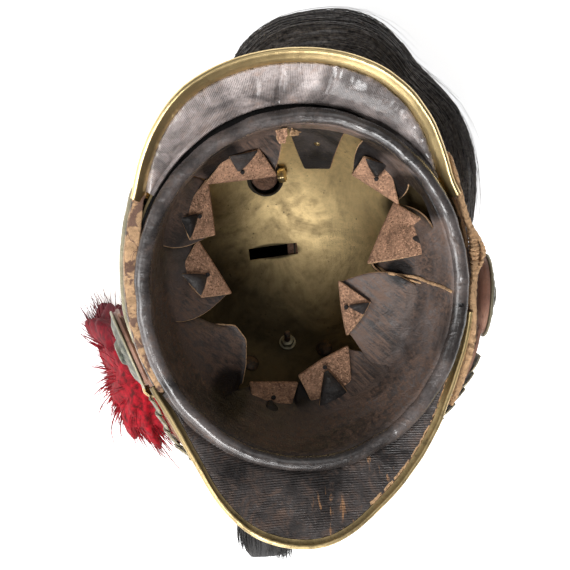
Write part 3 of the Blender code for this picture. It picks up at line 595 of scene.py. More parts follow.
def extrude_through(sections, round_section=True, round_run=False, capped=True):
    """Extrudes the first section through the others, and keeps in "run" where each point is:
    metres along, share of the way across, and share of the way along."""
    bm = bmesh.new()
    layer = bm.verts.layers.float_vector.new("run")
    row = [bm.verts.new(point) for point in sections[0]]
    edges = [bm.edges.new(pair) for pair in zip(row, row[1:])]
    if round_section:
        edges.append(bm.edges.new((row[-1], row[0])))
    first_edges = edges
    before, travelled, last = None, 0.0, len(sections) - 1
    for number, section in enumerate(sections):
        if number:
            row, edges = extrude_row(bm, row, edges)
        middle = sum((Vector(point) for point in section), Vector()) / len(section)
        travelled += (middle - before).length if before else 0.0
        before = middle
        for place, (vert, point) in enumerate(zip(row, section)):
            vert.co = point
            vert[layer] = (travelled, place / max(len(section) - 1, 1), number / max(last, 1))
    if round_run:
        bmesh.ops.bridge_loops(bm, edges=edges + first_edges)
    elif capped and round_section:
        bmesh.ops.contextual_create(bm, geom=first_edges)
        bmesh.ops.contextual_create(bm, geom=edges)
    bm.verts.index_update()
    return bm


def turn_profile(profile, steps):
    """Spins a chain of (radius, height) points a full turn round Z."""
    bm = bmesh.new()
    chain = [bm.verts.new((radius, 0.0, height)) for radius, height in profile]
    edges = [bm.edges.new(pair) for pair in zip(chain, chain[1:])]
    bmesh.ops.spin(
        bm,
        geom=chain + edges,
        cent=(0, 0, 0),
        axis=(0, 0, 1),
        angle=math.tau,
        steps=steps,
        use_merge=True,
    )
    bmesh.ops.remove_doubles(bm, verts=bm.verts, dist=1e-6)
    return bm


def place(bm, origin, axis, turn=0.0):
    """Moves a shape that was made round Z to its own axis."""
    axis = Vector(axis).normalized()
    spun = axis.to_track_quat("Z", "Y").to_matrix().to_4x4() @ Matrix.Rotation(turn, 4, "Z")
    bmesh.ops.transform(bm, matrix=Matrix.Translation(Vector(origin)) @ spun, verts=bm.verts)
    return bm


def join(first, second):
    """Adds the second shape to the first."""
    mesh = bpy.data.meshes.new("joined")
    second.to_mesh(mesh)
    second.free()
    first.from_mesh(mesh)
    bpy.data.meshes.remove(mesh)
    return first


def round_edges(bm, offset):
    bmesh.ops.bevel(bm, geom=bm.edges[:], offset=offset, segments=2, affect="EDGES", profile=0.5, material=-1)


def hex_nut(radius, height):
    """A six-sided nut with rounded edges."""
    bm = bmesh.new()
    bmesh.ops.create_cone(bm, cap_ends=True, segments=6, radius1=radius, radius2=radius, depth=height)
    round_edges(bm, 0.0004)
    return bm


def lay_out(name, mesh, nodes=()):
    """Puts a finished mesh in the scene under the root body, and hides the model's parts that it replaces."""
    made = bpy.data.objects.new(name, mesh)
    bpy.context.scene.collection.objects.link(made)
    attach(made, "root")
    if nodes:
        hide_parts(*nodes)
    return made


def piece(name, bm, finishes, nodes=(), sharp_deg=40):
    """A finished piece of the helmet: its mesh, its materials and what it stands for."""
    bmesh.ops.recalc_face_normals(bm, faces=bm.faces)
    mesh = bpy.data.meshes.new(name)
    bm.to_mesh(mesh)
    bm.free()
    for finish in finishes:
        mesh.materials.append(finish)
    mesh.shade_smooth()
    if sharp_deg:
        mesh.set_sharp_from_angle(angle=math.radians(sharp_deg))
    return lay_out(name, mesh, nodes)


def apply_modifiers(made):
    """Bakes a piece's modifiers into its mesh."""
    graph = bpy.context.evaluated_depsgraph_get()
    mesh = bpy.data.meshes.new_from_object(made.evaluated_get(graph))
    made.modifiers.clear()
    made.data = mesh


def soften(made):
    """Rounds a piece off by one step of subdivision."""
    soft = made.modifiers.new("smooth", "SUBSURF")
    soft.levels = 1
    soft.render_levels = 1


def thicken(made, wall, offset, flesh, edge):
    """Gives a sheet its thickness, with the far side and the rim in their own finish."""
    solid = made.modifiers.new("wall", "SOLIDIFY")
    solid.thickness = wall
    solid.offset = offset
    solid.material_offset = flesh
    solid.material_offset_rim = edge
    solid.use_quality_normals = True
    soften(made)
    apply_modifiers(made)


def cut_out(made, bm):
    """Cuts a closed shape out of a piece."""
    bmesh.ops.recalc_face_normals(bm, faces=bm.faces)
    mesh = bpy.data.meshes.new("cutter")
    bm.to_mesh(mesh)
    bm.free()
    tool = bpy.data.objects.new("cutter", mesh)
    bpy.context.scene.collection.objects.link(tool)
    cut = made.modifiers.new("cut", "BOOLEAN")
    cut.operation = "DIFFERENCE"
    cut.solver = "EXACT"
    cut.object = tool
    bpy.context.view_layer.update()
    apply_modifiers(made)
    bpy.data.objects.remove(tool, do_unlink=True)
    bpy.data.meshes.remove(mesh)


def wobble(point, per_metre, seed=0.0):
    """Smooth noise from -1 to 1 at a place."""
    return noise.noise(Vector(point) * per_metre + Vector((seed, seed * 1.7, -seed)))


def catmull(rows, share):
    """A smooth value of every column at a share of the way down a table."""
    at = min(max(share, 0.0), 1.0) * (len(rows) - 1)
    i = min(int(at), len(rows) - 2)
    t = at - i
    a, b, c, d = rows[max(i - 1, 0)], rows[i], rows[i + 1], rows[min(i + 2, len(rows) - 1)]
    found = []
    for p, q, r, s in zip(a, b, c, d):
        found.append(
            0.5 * (2 * q + (r - p) * t + (2 * p - 5 * q + 4 * r - s) * t * t + (3 * q - p - 3 * r + s) * t**3)
        )
    return found


def look_up(rows, at):
    """The other columns of a table whose first column is a position, at a place between rows."""
    if at <= rows[0][0]:
        return rows[0][1:]
    for low, high in zip(rows, rows[1:]):
        if at <= high[0]:
            share = (at - low[0]) / (high[0] - low[0])
            share = share * share * (3 - 2 * share) * 0.35 + share * 0.65
            return [a * (1 - share) + b * share for a, b in zip(low[1:], high[1:])]
    return rows[-1][1:]


def towards_eye():
    """From the rim to the camera, one metre up."""
    return Vector((-math.tan(math.radians(EYE_SIDE_DEG)), math.tan(math.radians(EYE_BACK_DEG)), 1.0))


def radial(angle):
    """The way out from the helmet's axis at an angle."""
    return Vector((math.cos(angle), math.sin(angle), 0.0))


def around(angle, outline):
    """Points at an angle round the helmet, from pairs of radius and height."""
    return [radial(angle) * radius + Vector((0, 0, z)) for radius, z in outline]


def oval(angle, half_width, front, rear):
    half_length = rear if math.sin(angle) > 0 else front
    return 1 / math.hypot(math.cos(angle) / half_width, math.sin(angle) / half_length)


def skull_rim(angle):
    """How far the skull's rim is from the helmet's axis."""
    return oval(angle, SKULL_HALF_WIDTH, SKULL_FRONT, SKULL_REAR)


def skull_radius(angle, z):
    drop = min(max((RIM_Z - z) / SKULL_DEPTH, 0.0), 1.0)
    return skull_rim(angle) * (1 - drop * drop) ** (SKULL_FULLNESS / 2)


def skull_z(x, y, inset=0.0):
    """Height of the skull's outer face over a point of the floor, or of a face inset from it."""
    half_length = (SKULL_REAR if y > 0 else SKULL_FRONT) - inset
    share = min(math.hypot(x / (SKULL_HALF_WIDTH - inset), y / half_length), 1.0)
    return RIM_Z - (SKULL_DEPTH - inset) * math.sqrt(1 - share ** (2 / SKULL_FULLNESS))


def inner_wall(centre):
    """Point and normal of the skull's inner face over a point of the floor."""
    x, y = centre
    inset = sizes().brass_wall
    step = 0.001
    wall = Vector((x, y, skull_z(x, y, inset)))
    slope_x = (skull_z(x + step, y, inset) - wall.z) / step
    slope_y = (skull_z(x, y + step, inset) - wall.z) / step
    return wall, Vector((-slope_x, -slope_y, 1)).normalized()


def liner_radius(angle):
    """How far the mouth's edge is from the liner's centre."""
    radius = oval(angle, LINER_HALF_WIDTH, LINER_HALF_LENGTH, LINER_HALF_LENGTH)
    for degrees, reach, narrow in LINER_BULGES:
        radius += reach * max(math.cos(angle - math.radians(degrees)), 0.0) ** narrow
    return radius


def liner_point(angle, radius, z):
    return Vector((LINER_CENTRE.x, LINER_CENTRE.y, z)) + radial(angle) * radius


def strand_piece(name, paths, thickness, finish):
    """Fine tapering strands, each along its own path, as one mesh."""
    curve = bpy.data.curves.new(name, "CURVE")
    curve.dimensions = "3D"
    curve.bevel_depth = thickness
    curve.bevel_resolution = 0
    curve.use_fill_caps = True
    for path, swell in paths:
        spline = curve.splines.new("POLY")
        spline.points.add(len(path) - 1)
        last = len(path) - 1
        for i, (point, to) in enumerate(zip(spline.points, path)):
            point.co = (*to, 1.0)
            share = i / last
            point.radius = swell * (0.75 + 0.25 * math.sin(math.pi * share)) * (1 - 0.75 * share**3)
    source = bpy.data.objects.new(name + "_curve", curve)
    bpy.context.scene.collection.objects.link(source)
    graph = bpy.context.evaluated_depsgraph_get()
    mesh = bpy.data.meshes.new_from_object(source.evaluated_get(graph))
    bpy.data.objects.remove(source, do_unlink=True)
    bpy.data.curves.remove(curve)
    mesh.materials.clear()
    mesh.materials.append(finish)
    mesh.name = name
    mesh.shade_smooth()
    return lay_out(name, mesh)


# Brass bowl and crest


class HELMET_OT_skull(bpy.types.Operator):
    """Spins the brass skull and cuts its slot and its vent."""

    bl_idname = "helmet.skull"
    bl_label = "Brass skull"

    def execute(self, context):
        wall = sizes().brass_wall
        profile = []
        rows, steps = 30, 112
        for inset, order in ((0.0, range(rows, -1, -1)), (wall, range(rows + 1))):
            for i in order:
                tilt = math.pi / 2 * i / rows
                radius = (SKULL_HALF_WIDTH - inset) * max(math.cos(tilt), 0.0) ** SKULL_FULLNESS
                profile.append((radius if i < rows else 0.0, RIM_Z - (SKULL_DEPTH - inset) * math.sin(tilt)))
        bm = turn_profile(profile, steps)
        for vert in bm.verts:
            half_length = SKULL_REAR if vert.co.y > 0 else SKULL_FRONT
            vert.co.y *= half_length / SKULL_HALF_WIDTH
            vert.co.z += 0.00025 * wobble(vert.co, 40.0)
        made = piece("brass_skull", bm, [bowl_brass()], ["skull"])
        low, high = CREST_HEIGHT - 0.01, RIM_Z - SKULL_DEPTH / 2
        for centre, across in ((SLOT_CENTRE, SLOT_SIZE), (VENT_CENTRE, None)):
            tool = bmesh.new()
            if across:
                bmesh.ops.create_cube(tool, size=1.0)
                bmesh.ops.scale(tool, vec=(across[0], across[1], high - low), verts=tool.verts)
                turn = Matrix.Rotation(math.radians(SLOT_TURN_DEG), 3, "Z")
                bmesh.ops.rotate(tool, cent=(0, 0, 0), matrix=turn, verts=tool.verts)
            else:
                sides = {"segments": 64, "radius1": VENT_RADIUS, "radius2": VENT_RADIUS}
                bmesh.ops.create_cone(tool, cap_ends=True, depth=high - low, **sides)
            bmesh.ops.translate(tool, vec=(centre.x, centre.y, (low + high) / 2), verts=tool.verts)
            cut_out(made, tool)
        made.data.set_sharp_from_angle(angle=math.radians(40))
        return {"FINISHED"}


CREST_ROWS = (
    # shares: base along the skull's half length, top along the same, height, and both widths
    (-0.91, -0.955, 2.15, 0.55, 0.6),
    (-0.88, -1.02, 1.96, 0.8, 0.85),
    (-0.835, -1.08, 1.56, 0.92, 1.0),
    (-0.765, -1.125, 1.02, 1.0, 1.05),
    (-0.675, -1.1455, 0.56, 1.0, 1.05),
    (-0.59, -1.1455, 0.11, 1.0, 1.0),
    (-0.5, -1.05, 0.0, 1.0, 1.0),
    (-0.36, -0.8, 0.0, 1.0, 1.0),
    (-0.19, -0.48, 0.0, 1.0, 1.0),
    (0.0, -0.14, 0.0, 1.0, 1.0),
    (0.19, 0.19, 0.0, 1.0, 1.0),
    (0.38, 0.46, 0.06, 1.0, 1.0),
    (0.55, 0.69, 0.215, 1.0, 0.96),
    (0.69, 0.88, 0.525, 0.95, 0.9),
    (0.79, 0.975, 0.95, 0.88, 0.8),
    (0.855, 0.99, 1.4, 0.75, 0.66),
    (0.885, 0.96, 1.85, 0.55, 0.48),
)


class HELMET_OT_crest(bpy.types.Operator):
    """Draws the hollow crest over the crown, with a beaded line along each edge."""

    bl_idname = "helmet.crest"
    bl_label = "Crest"

    def execute(self, context):
        sections, beads = [], {-1: [], 1: []}
        count = 96
        for i in range(count + 1):
            base, top, height, base_width, top_width = catmull(CREST_ROWS, i / count)
            base_y = base * (SKULL_REAR if base > 0 else SKULL_FRONT)
            top_y = top * (SKULL_REAR if top > 0 else SKULL_FRONT)
            half_base, half_top = CREST_BASE_HALF * base_width, CREST_TOP_HALF * top_width
            head = Vector((0, top_y, max(height * CREST_HEIGHT, 0.0)))
            foot = Vector((0, base_y, skull_z(half_base, base_y)))
            lean = (head - foot).normalized()
            foot += lean * 0.0007
            reach = (head - foot).length
            outline = []
            ribs = 0.0007 * (0.5 + 0.5 * math.cos(math.tau * i / 6))
            for share in (0.0, 0.05, 0.1, 0.16, 0.4, 0.7, 0.84, 0.9, 0.95, 0.985):
                half = half_base * (1 - share) + half_top * share
                swell = ribs - 0.0004 if 0.16 <= share <= 0.84 else 0.0
                outline.append((half + swell - (0.0008 if share == 0.985 else 0.0), share * reach))
            outline.append((half_top - 0.0028, reach))
            left = [foot + lean * along + Vector((-half, 0, 0)) for half, along in outline]
            right = [foot + lean * along + Vector((half, 0, 0)) for half, along in reversed(outline)]
            inner = [
                foot + Vector((half_base - 0.0012, 0, 0)),
                head - lean * 0.0012 + Vector((half_top - 0.0016, 0, 0)),
                head - lean * 0.0012 + Vector((-half_top + 0.0016, 0, 0)),
                foot + Vector((-half_base + 0.0012, 0, 0)),
            ]
            sections.append(left + right + inner)
            for side in beads:
                at = foot + lean * reach * 0.93
                half = half_base * 0.07 + half_top * 0.93
                beads[side].append(at + Vector((side * (half + 0.0003), 0, 0)))
        bm = extrude_through(sections)
        bmesh.ops.recalc_face_normals(bm, faces=bm.faces)
        # Faces turned into the crest's hollow take the near-black brass: painted shade inside the crest.
        for face in bm.faces:
            away = face.calc_center_median() - Vector((0, 0, RIM_Z))
            face.material_index = 1 if face.normal.dot(away) < 0 else 0
        finishes = [trim_brass("crest_brass", dull=0.75, shine=0.34), painted_shade_brass()]
        piece("crest_shell", bm, finishes, ["crest"])
        wires = bmesh.new()
        for side, line in beads.items():
            for i in range(2, len(line) - 2, 2):
                bead = bmesh.new()
                bmesh.ops.create_icosphere(bead, subdivisions=1, radius=0.0011)
                bmesh.ops.translate(bead, vec=line[i], verts=bead.verts)
                join(wires, bead)
        piece("crest_beading", wires, [trim_brass("bead_brass", dull=0.3, shine=0.25)])
        return {"FINISHED"}


class HELMET_OT_crown_fixings(bpy.types.Operator):
    """Makes the stud and nut, the rivets, the vent's bush and its plug inside the crown."""

    bl_idname = "helmet.crown_fixings"
    bl_label = "Crown fixings"

    def execute(self, context):
        brass = trim_brass("fixing_brass", dull=0.7, shine=0.34)
        wall, normal = inner_wall(STUD_CENTRE)
        nut = hex_nut(0.0042, 0.0034)
        bmesh.ops.translate(nut, vec=(0, 0, 0.003), verts=nut.verts)
        profile = [(0.0, 0.0022), (0.0016, 0.0022)]
        thread_start, pitch = 0.0046, 0.0006
        for i in range(17):
            crest = thread_start + i * pitch
            profile += [(0.00185, crest), (0.0015, crest + pitch / 2)]
        profile += [(0.0013, 0.015), (0.0, 0.0152)]
        bolt = turn_profile(profile, 20)
        at = SLOT_CENTRE + Vector((0.0135, 0.0009))
        tongue = bmesh.new()
        bmesh.ops.create_cube(tongue, size=1.0)
        bmesh.ops.scale(tongue, vec=(0.008, 0.011, 0.003), verts=tongue.verts)
        bmesh.ops.translate(tongue, vec=(at.x, at.y, skull_z(at.x, at.y) - 0.0024), verts=tongue.verts)
        round_edges(tongue, 0.0008)
        piece("slot_tongue", tongue, [old_wood()])
        piece("stud_bolt", place(bolt, wall, normal, 0.3), [old_iron()])
        washer = [(0.0, 0.0009), (0.0052, 0.0009), (0.0052, 0.0014), (0.0, 0.0015)]
        join(nut, turn_profile(washer, 28))
        place(nut, wall, normal, 0.3)
        piece("stud_and_nut", nut, [tarnished_brass()], ["crest_stud"])
        for side, centre in (("left", (-0.019, -0.0645)), ("right", (0.0285, -0.0585))):
            wall, normal = inner_wall(centre)
            head = [(0.0, 0.001), (0.0055, 0.001), (0.0057, 0.0016)]
            head += [(0.005, 0.0023), (0.003, 0.003), (0.0, 0.0032)]
            rivet = turn_profile(head, 32)
            bmesh.ops.scale(rivet, vec=(0.86, 1.0, 1.0), verts=rivet.verts)
            for vert in rivet.verts:
                vert.co.z += 0.0003 * wobble(vert.co, 400.0, 3.0)
            place(rivet, wall, normal)
            piece(f"rivet_{side}", rivet, [old_iron()], [f"crest_rivet_{side}"])
        top = skull_z(VENT_CENTRE.x, VENT_CENTRE.y + VENT_RADIUS, sizes().brass_wall)
        ring = [
            (0.0096, top - 0.016), (0.011, top - 0.016), (0.011, top - 0.0006), (0.0106, top),
            (0.01, top), (0.0096, top - 0.0006), (0.0096, top - 0.016),
        ]
        bush = turn_profile(ring, 56)
        bmesh.ops.translate(bush, vec=(VENT_CENTRE.x, VENT_CENTRE.y, 0), verts=bush.verts)
        # The vent's bush takes the near-black brass: painted shade in the vent's bore.
        piece("vent_ring", bush, [painted_shade_brass()], ["vent_bush"])
        outline = ((0.0, 0.0158), (0.008, 0.0158), (0.0084, 0.0026), (0.0068, 0.0004), (0.0, -0.0002))
        plug = turn_profile([(radius, top - down) for radius, down in outline], 40)
        bmesh.ops.subdivide_edges(plug, edges=plug.edges[:], cuts=2, use_grid_fill=True)
        for vert in plug.verts:
            vert.co += vert.co.normalized() * 0.0006 * wobble(vert.co, 300.0, 7.0)
        bmesh.ops.translate(plug, vec=(VENT_CENTRE.x - 0.0006, VENT_CENTRE.y + 0.0014, 0), verts=plug.verts)
        piece("wooden_plug", plug, [old_wood()], ["vent_plug"])
        side_nut = hex_nut(0.0046, 0.0042)
        seat = Vector((VENT_CENTRE.x + 0.0098, VENT_CENTRE.y + 0.0018, top + 0.0022))
        piece("vent_nut", place(side_nut, seat, (1.0, 0.1, 0.35), 0.2), [brass])
        return {"FINISHED"}


# Hide band

TURBAN_ROWS = (
    # degrees, then shares: past the rim, width of the lip, and how far the top stands off
    (0.0, 0.25, -0.1, 0.1),
    (15.0, 0.25, -0.1, 0.15),
    (22.5, 0.25, -0.1, 0.15),
    (30.0, 0.0, -0.1, 0.0),
    (142.0, 0.0, -0.1, 0.0),
    (147.0, 1.0, 0.45, 0.6),
    (155.0, 1.0, 0.62, 0.38),
    (165.0, 1.0, 0.72, 0.2),
    (176.0, 1.0, 0.66, 0.06),
    (186.0, 1.0, 0.58, 0.04),
    (195.0, 1.0, 0.5, 0.0),
    (205.0, 1.0, 0.42, 0.0),
    (214.0, 0.9, 0.2, 0.0),
    (220.0, 0.0, -0.1, 0.0),
    (330.0, 0.0, -0.1, 0.0),
    (345.0, 0.25, -0.1, 0.1),
    (360.0, 0.25, -0.1, 0.1),
)


class HELMET_OT_hide_band(bpy.types.Operator):
    """Wraps the spotted hide round the skull, with its raw tan lip turned in at the sides."""

    bl_idname = "helmet.hide_band"
    bl_label = "Hide band"

    def execute(self, context):
        sections = []
        count = 288
        for i in range(count):
            degrees = 360.0 * i / count
            angle = math.radians(degrees)
            past, lip, standoff = look_up(TURBAN_ROWS, degrees)
            lip *= HIDE_LIP
            standoff *= HIDE_STANDOFF
            short = RIM_Z - 0.0062
            end = short + (RIM_Z + 0.0003 + HIDE_LIP_WALL - short) * past
            ragged = 0.0008 * wobble(radial(angle), 26.0, 2.0) + 0.0004 * wobble(radial(angle), 90.0, 5.0)
            end += ragged * past
            inner = []
            for rise in (0.0, 0.12, 0.25, 0.38, 0.5, 0.62, 0.74, 0.84, 0.9):
                z = RIM_Z - HIDE_HEIGHT * (1 - rise)
                inner.append((skull_radius(angle, z) + HIDE_SEAT + standoff * rise, z))
            outer = [(radius + HIDE_WALL * (0.7 + 0.3 * (k > 0)), z) for k, (radius, z) in enumerate(inner)]
            rim = inner[-1][0] + standoff * 0.1
            reach = rim - lip + (ragged * 1.6 if lip > 0.002 else 0.0)
            lower = end - HIDE_LIP_WALL
            outline = outer + [
                (rim + HIDE_WALL * 0.98, end - 0.0012),
                (rim + HIDE_WALL * 0.7, end - 0.0002),
                (rim + HIDE_WALL * 0.1, end),
                ((rim + reach) / 2, end + ragged * 0.4),
                (reach + 0.0004, end), (reach, end - 0.0008), (reach + 0.0002, lower),
                (rim, lower),
            ]
            outline += list(reversed(inner))
            sections.append(around(angle, outline))
        bm = extrude_through(sections, round_run=True)
        bmesh.ops.recalc_face_normals(bm, faces=bm.faces)
        for face in bm.faces:
            middle = face.calc_center_median()
            out = Vector((middle.x, middle.y, 0)).normalized()
            on_right = middle.x > 0
            face.material_index = 0 if face.normal.dot(out) > 0.55 or on_right else 1
        made = piece("hide_band", bm, [spotted_fur(), flesh_side()], ["turban"], sharp_deg=50)
        soften(made)
        self.fold()
        return {"FINISHED"}

    def fold(self):
        """The hide's raw edge on the wearer's right, with the loop where it bows off and lies double."""
        for name, rows, deep in (("hide_edge", EDGE_ROWS, 0.011), ("hide_fold", FOLD_ROWS, 0.009)):
            sections = []
            count = 140
            for i in range(count + 1):
                share = i / count
                degrees, past, thick = catmull(rows, share)
                angle = math.radians(degrees)
                fray = 0.0007 * wobble(radial(angle), 60.0, 9.0) + 0.0004 * wobble(radial(angle), 240.0, 2.0)
                middle = skull_rim(angle) + past / 1000
                half = thick / 2000 * (1 + 0.35 * wobble(radial(angle), 90.0, 6.0))
                half *= min(1.0, (min(share, 1 - share) + 0.004) / 0.03)
                high = RIM_Z + 0.001 + fray - 0.006 * max(0.0, share - 0.75) * (deep > 0.01)
                low = high - deep
                ring = [
                    (middle - half, low), (middle + half, low), (middle + half, high - 0.001),
                    (middle + half * 0.7 + fray, high), (middle - half * 0.6, high + fray * 0.8),
                    (middle - half, high - 0.0008),
                ]
                sections.append(around(angle, ring))
            leather = raw_edge(name + "_leather")
            piece(name, extrude_through(sections), [leather], sharp_deg=50)


# Routes of the hide's raw edge on the wearer's right
EDGE_ROWS = (
    # degrees, and millimetres past the skull's rim and of thickness
    (37.0, 14.3, 2.6), (27.5, 9.0, 3.0), (19.5, 6.6, 3.2), (13.5, 7.3, 3.0), (9.0, 10.6, 2.2),
    (5.0, 12.0, 2.0), (1.5, 9.6, 2.2), (-2.0, 6.0, 3.2), (-9.0, 5.0, 4.2), (-18.0, 7.6, 4.2),
    (-27.0, 10.2, 4.2), (-35.0, 12.0, 4.0), (-43.0, 14.6, 2.6),
)
FOLD_ROWS = (
    (14.0, 7.2, 2.0), (10.5, 7.5, 4.2), (6.0, 6.9, 4.8), (2.0, 6.3, 4.4), (-3.0, 5.6, 2.4),
)


# Peak and neck guard

PEAK_ROWS = (
    # degrees from the middle, the wearer's left first, and share of the reach
    (-60.0, 0.06), (-53.6, 0.072), (-47.6, 0.085), (-43.3, 0.125), (-38.6, 0.185), (-34.5, 0.27),
    (-31.4, 0.33), (-28.0, 0.435), (-24.4, 0.555), (-20.4, 0.675), (-16.4, 0.785), (-12.3, 0.875),
    (-8.0, 0.925), (-3.0, 0.955), (2.0, 0.955), (5.0, 0.925), (8.0, 0.875), (12.0, 0.79),
    (16.0, 0.69), (23.0, 0.565), (30.0, 0.44), (40.0, 0.3), (50.0, 0.175), (60.0, 0.11),
    (78.0, 0.07),
)
NECK_ROWS = (
    # the same, with the wearer's right first
    (-60.0, 0.2), (-54.8, 0.29), (-49.8, 0.4), (-40.7, 0.62), (-31.5, 0.805), (-22.9, 0.915),
    (-14.6, 0.955), (-7.0, 0.97), (2.7, 0.975), (12.3, 0.98), (20.0, 0.98), (27.5, 0.955),
    (33.0, 0.875), (40.0, 0.725), (48.0, 0.535), (54.0, 0.385), (60.0, 0.26),
)


def roll_outside(angle):
    """How far the roll's outer side is from the helmet's axis."""
    return liner_radius(angle) + 2 * ROLL_RADIUS + LINER_CENTRE.dot(radial(angle).xy)


class Guard:
    """The peak or the neck guard: a flared plate that grows from the skull's rim."""

    def __init__(self, name, middle_deg, rows, reach, rise, skew_deg, edge_profile):
        self.name = name
        self.middle = middle_deg
        self.rows = rows
        self.reach = reach
        self.rise = rise
        self.skew = skew_deg
        self.edge_profile = edge_profile

    def width(self, degrees):
        off = degrees - self.middle - self.skew
        share = sum(look_up(self.rows, off + step)[0] for step in (-2.4, -1.2, 0.0, 1.2, 2.4)) / 5
        return math.hypot(self.reach, self.rise) * share

    def point(self, degrees, along, off):
        angle = math.radians(degrees)
        slope = math.atan2(self.rise, self.reach)
        out, up = radial(angle), Vector((0, 0, 1))
        along_slope = out * math.cos(slope) + up * math.sin(slope)
        normal = up * math.cos(slope) - out * math.sin(slope)
        root = out * (skull_rim(angle) + 0.0003) + up * (RIM_Z - 0.002)
        return root + along_slope * along + normal * off

    def angles(self, before, after, step=0.75):
        """Degrees from a little before the guard's middle line to a little after it."""
        count = round((before + after) / step)
        return [self.middle - before + i * (before + after) / count for i in range(count + 1)]

    def plate(self, before, after, finish):
        sections = []
        for degrees in self.angles(before, after):
            edge = self.width(degrees)
            shares = (0.0, 0.25, 0.5, 0.75, 1.0)
            top = [self.point(degrees, edge * share, 0.0) for share in shares]
            bottom = [self.point(degrees, edge * share, -0.0012) for share in reversed(shares)]
            sections.append(top + bottom)
        piece(f"{self.name}_plate", extrude_through(sections), [finish], [self.name])

    def lining(self, before, after, finish, edge_finish, puff, creases, raw=(0.0, 0.0)):
        """Leather over the plate's inner face, puffed, with a raw edge along part of the binding."""
        strip = self.edge_profile[0][0]
        sections = []
        rows = 16
        for degrees in self.angles(before, after, 0.5):
            angle = math.radians(degrees)
            edge = self.width(degrees)
            end = edge + max(strip, -edge * 0.8) + 0.0007 * wobble(radial(angle), 60.0, 4.0)
            near = max(skull_rim(angle) - 0.0024, roll_outside(angle) - 0.0012)
            top = [
                radial(angle) * near + Vector((0, 0, RIM_Z - 0.003)),
                radial(angle) * near + Vector((0, 0, RIM_Z + 0.0002)),
                radial(angle) * (near + 0.0008) + Vector((0, 0, RIM_Z + 0.0016)),
            ]
            for k in range(rows + 1):
                share = k / rows
                along = 0.0022 + (end - 0.0022) * share
                point = self.point(degrees, along, 0.0)
                pillow = math.sin(math.pi * min(share * 0.86 + 0.14, 1.0)) ** 0.75
                lift = 0.0016 + puff * pillow * min(edge / 0.036, 1.0)
                dents = 0.0016 * wobble(point, 34.0, 6.0) + 0.0006 * wobble(point, 85.0, 2.0)
                lift += (dents + 0.00022 * wobble(point, 230.0, 8.0)) * pillow
                for crease, depth in creases:
                    off_crease = degrees - crease + 1.5 * share
                    lift -= depth * math.exp(-((off_crease / 0.9) ** 2)) * pillow
                top.append(self.point(degrees, along, max(lift, 0.001)))
            bottom = [self.point(degrees, end, 0.0003), self.point(degrees, 0.0022, 0.0003)]
            sections.append(top + bottom)
        bm = extrude_through(sections)
        layer = bm.verts.layers.float_vector["run"]
        across = rows + 5
        for face in bm.faces:
            shares = [vert[layer].y * across for vert in face.verts]
            middle = face.calc_center_median()
            degrees = math.degrees(math.atan2(middle.y, middle.x)) % 360
            ragged = 0.6 * wobble(middle, 160.0, 3.0) + 0.6 * wobble(middle, 420.0, 5.0)
            if raw[0] < degrees < raw[1] and min(shares) >= rows + 1.7 + ragged and max(shares) <= rows + 4.4:
                face.material_index = 1
        name = f"{self.name}_leather"
        piece(name, bm, [finish, edge_finish], [f"{self.name}_lining"], sharp_deg=55)

    def binding(self, before, after, finish):
        """A folded brass strip: flat on the inner face, with a bead round the edge."""
        sections = []
        for degrees in self.angles(before, after):
            edge = self.width(degrees)
            room = min(1.0, edge * 0.85 / -self.edge_profile[0][0])
            ring = []
            for along, off in self.edge_profile:
                along = along * room if along < 0 else along * (0.5 + 0.5 * room)
                dent = 0.00015 * wobble(radial(math.radians(degrees)), 60.0, 3.0)
                ring.append(self.point(degrees, edge + along, off + dent))
            sections.append(ring)
        name = f"{self.name}_brass_edge"
        piece(name, extrude_through(sections), [finish], [f"{self.name}_binding"], sharp_deg=60)


# Sections of the folded strips: metres past the plate's edge, and metres off its inner face
PEAK_EDGE = (
    (-0.003, 0.0006), (-0.0027, 0.0012), (-0.0002, 0.0013), (0.0006, 0.0022), (0.0014, 0.0026),
    (0.0023, 0.0022), (0.0028, 0.0012), (0.0028, 0.0), (0.0024, -0.0014), (0.0012, -0.0024),
    (0.0004, -0.002), (0.0004, 0.0004),
)
NECK_EDGE = (
    (-0.0086, 0.0003), (-0.0078, 0.0009), (-0.004, 0.0013), (-0.001, 0.0016), (0.0002, 0.0019),
    (0.001, 0.0017), (0.0016, 0.0011), (0.0018, 0.0002), (0.0016, -0.001), (0.0008, -0.0019),
    (0.0004, -0.0018), (0.0004, 0.0002),
)


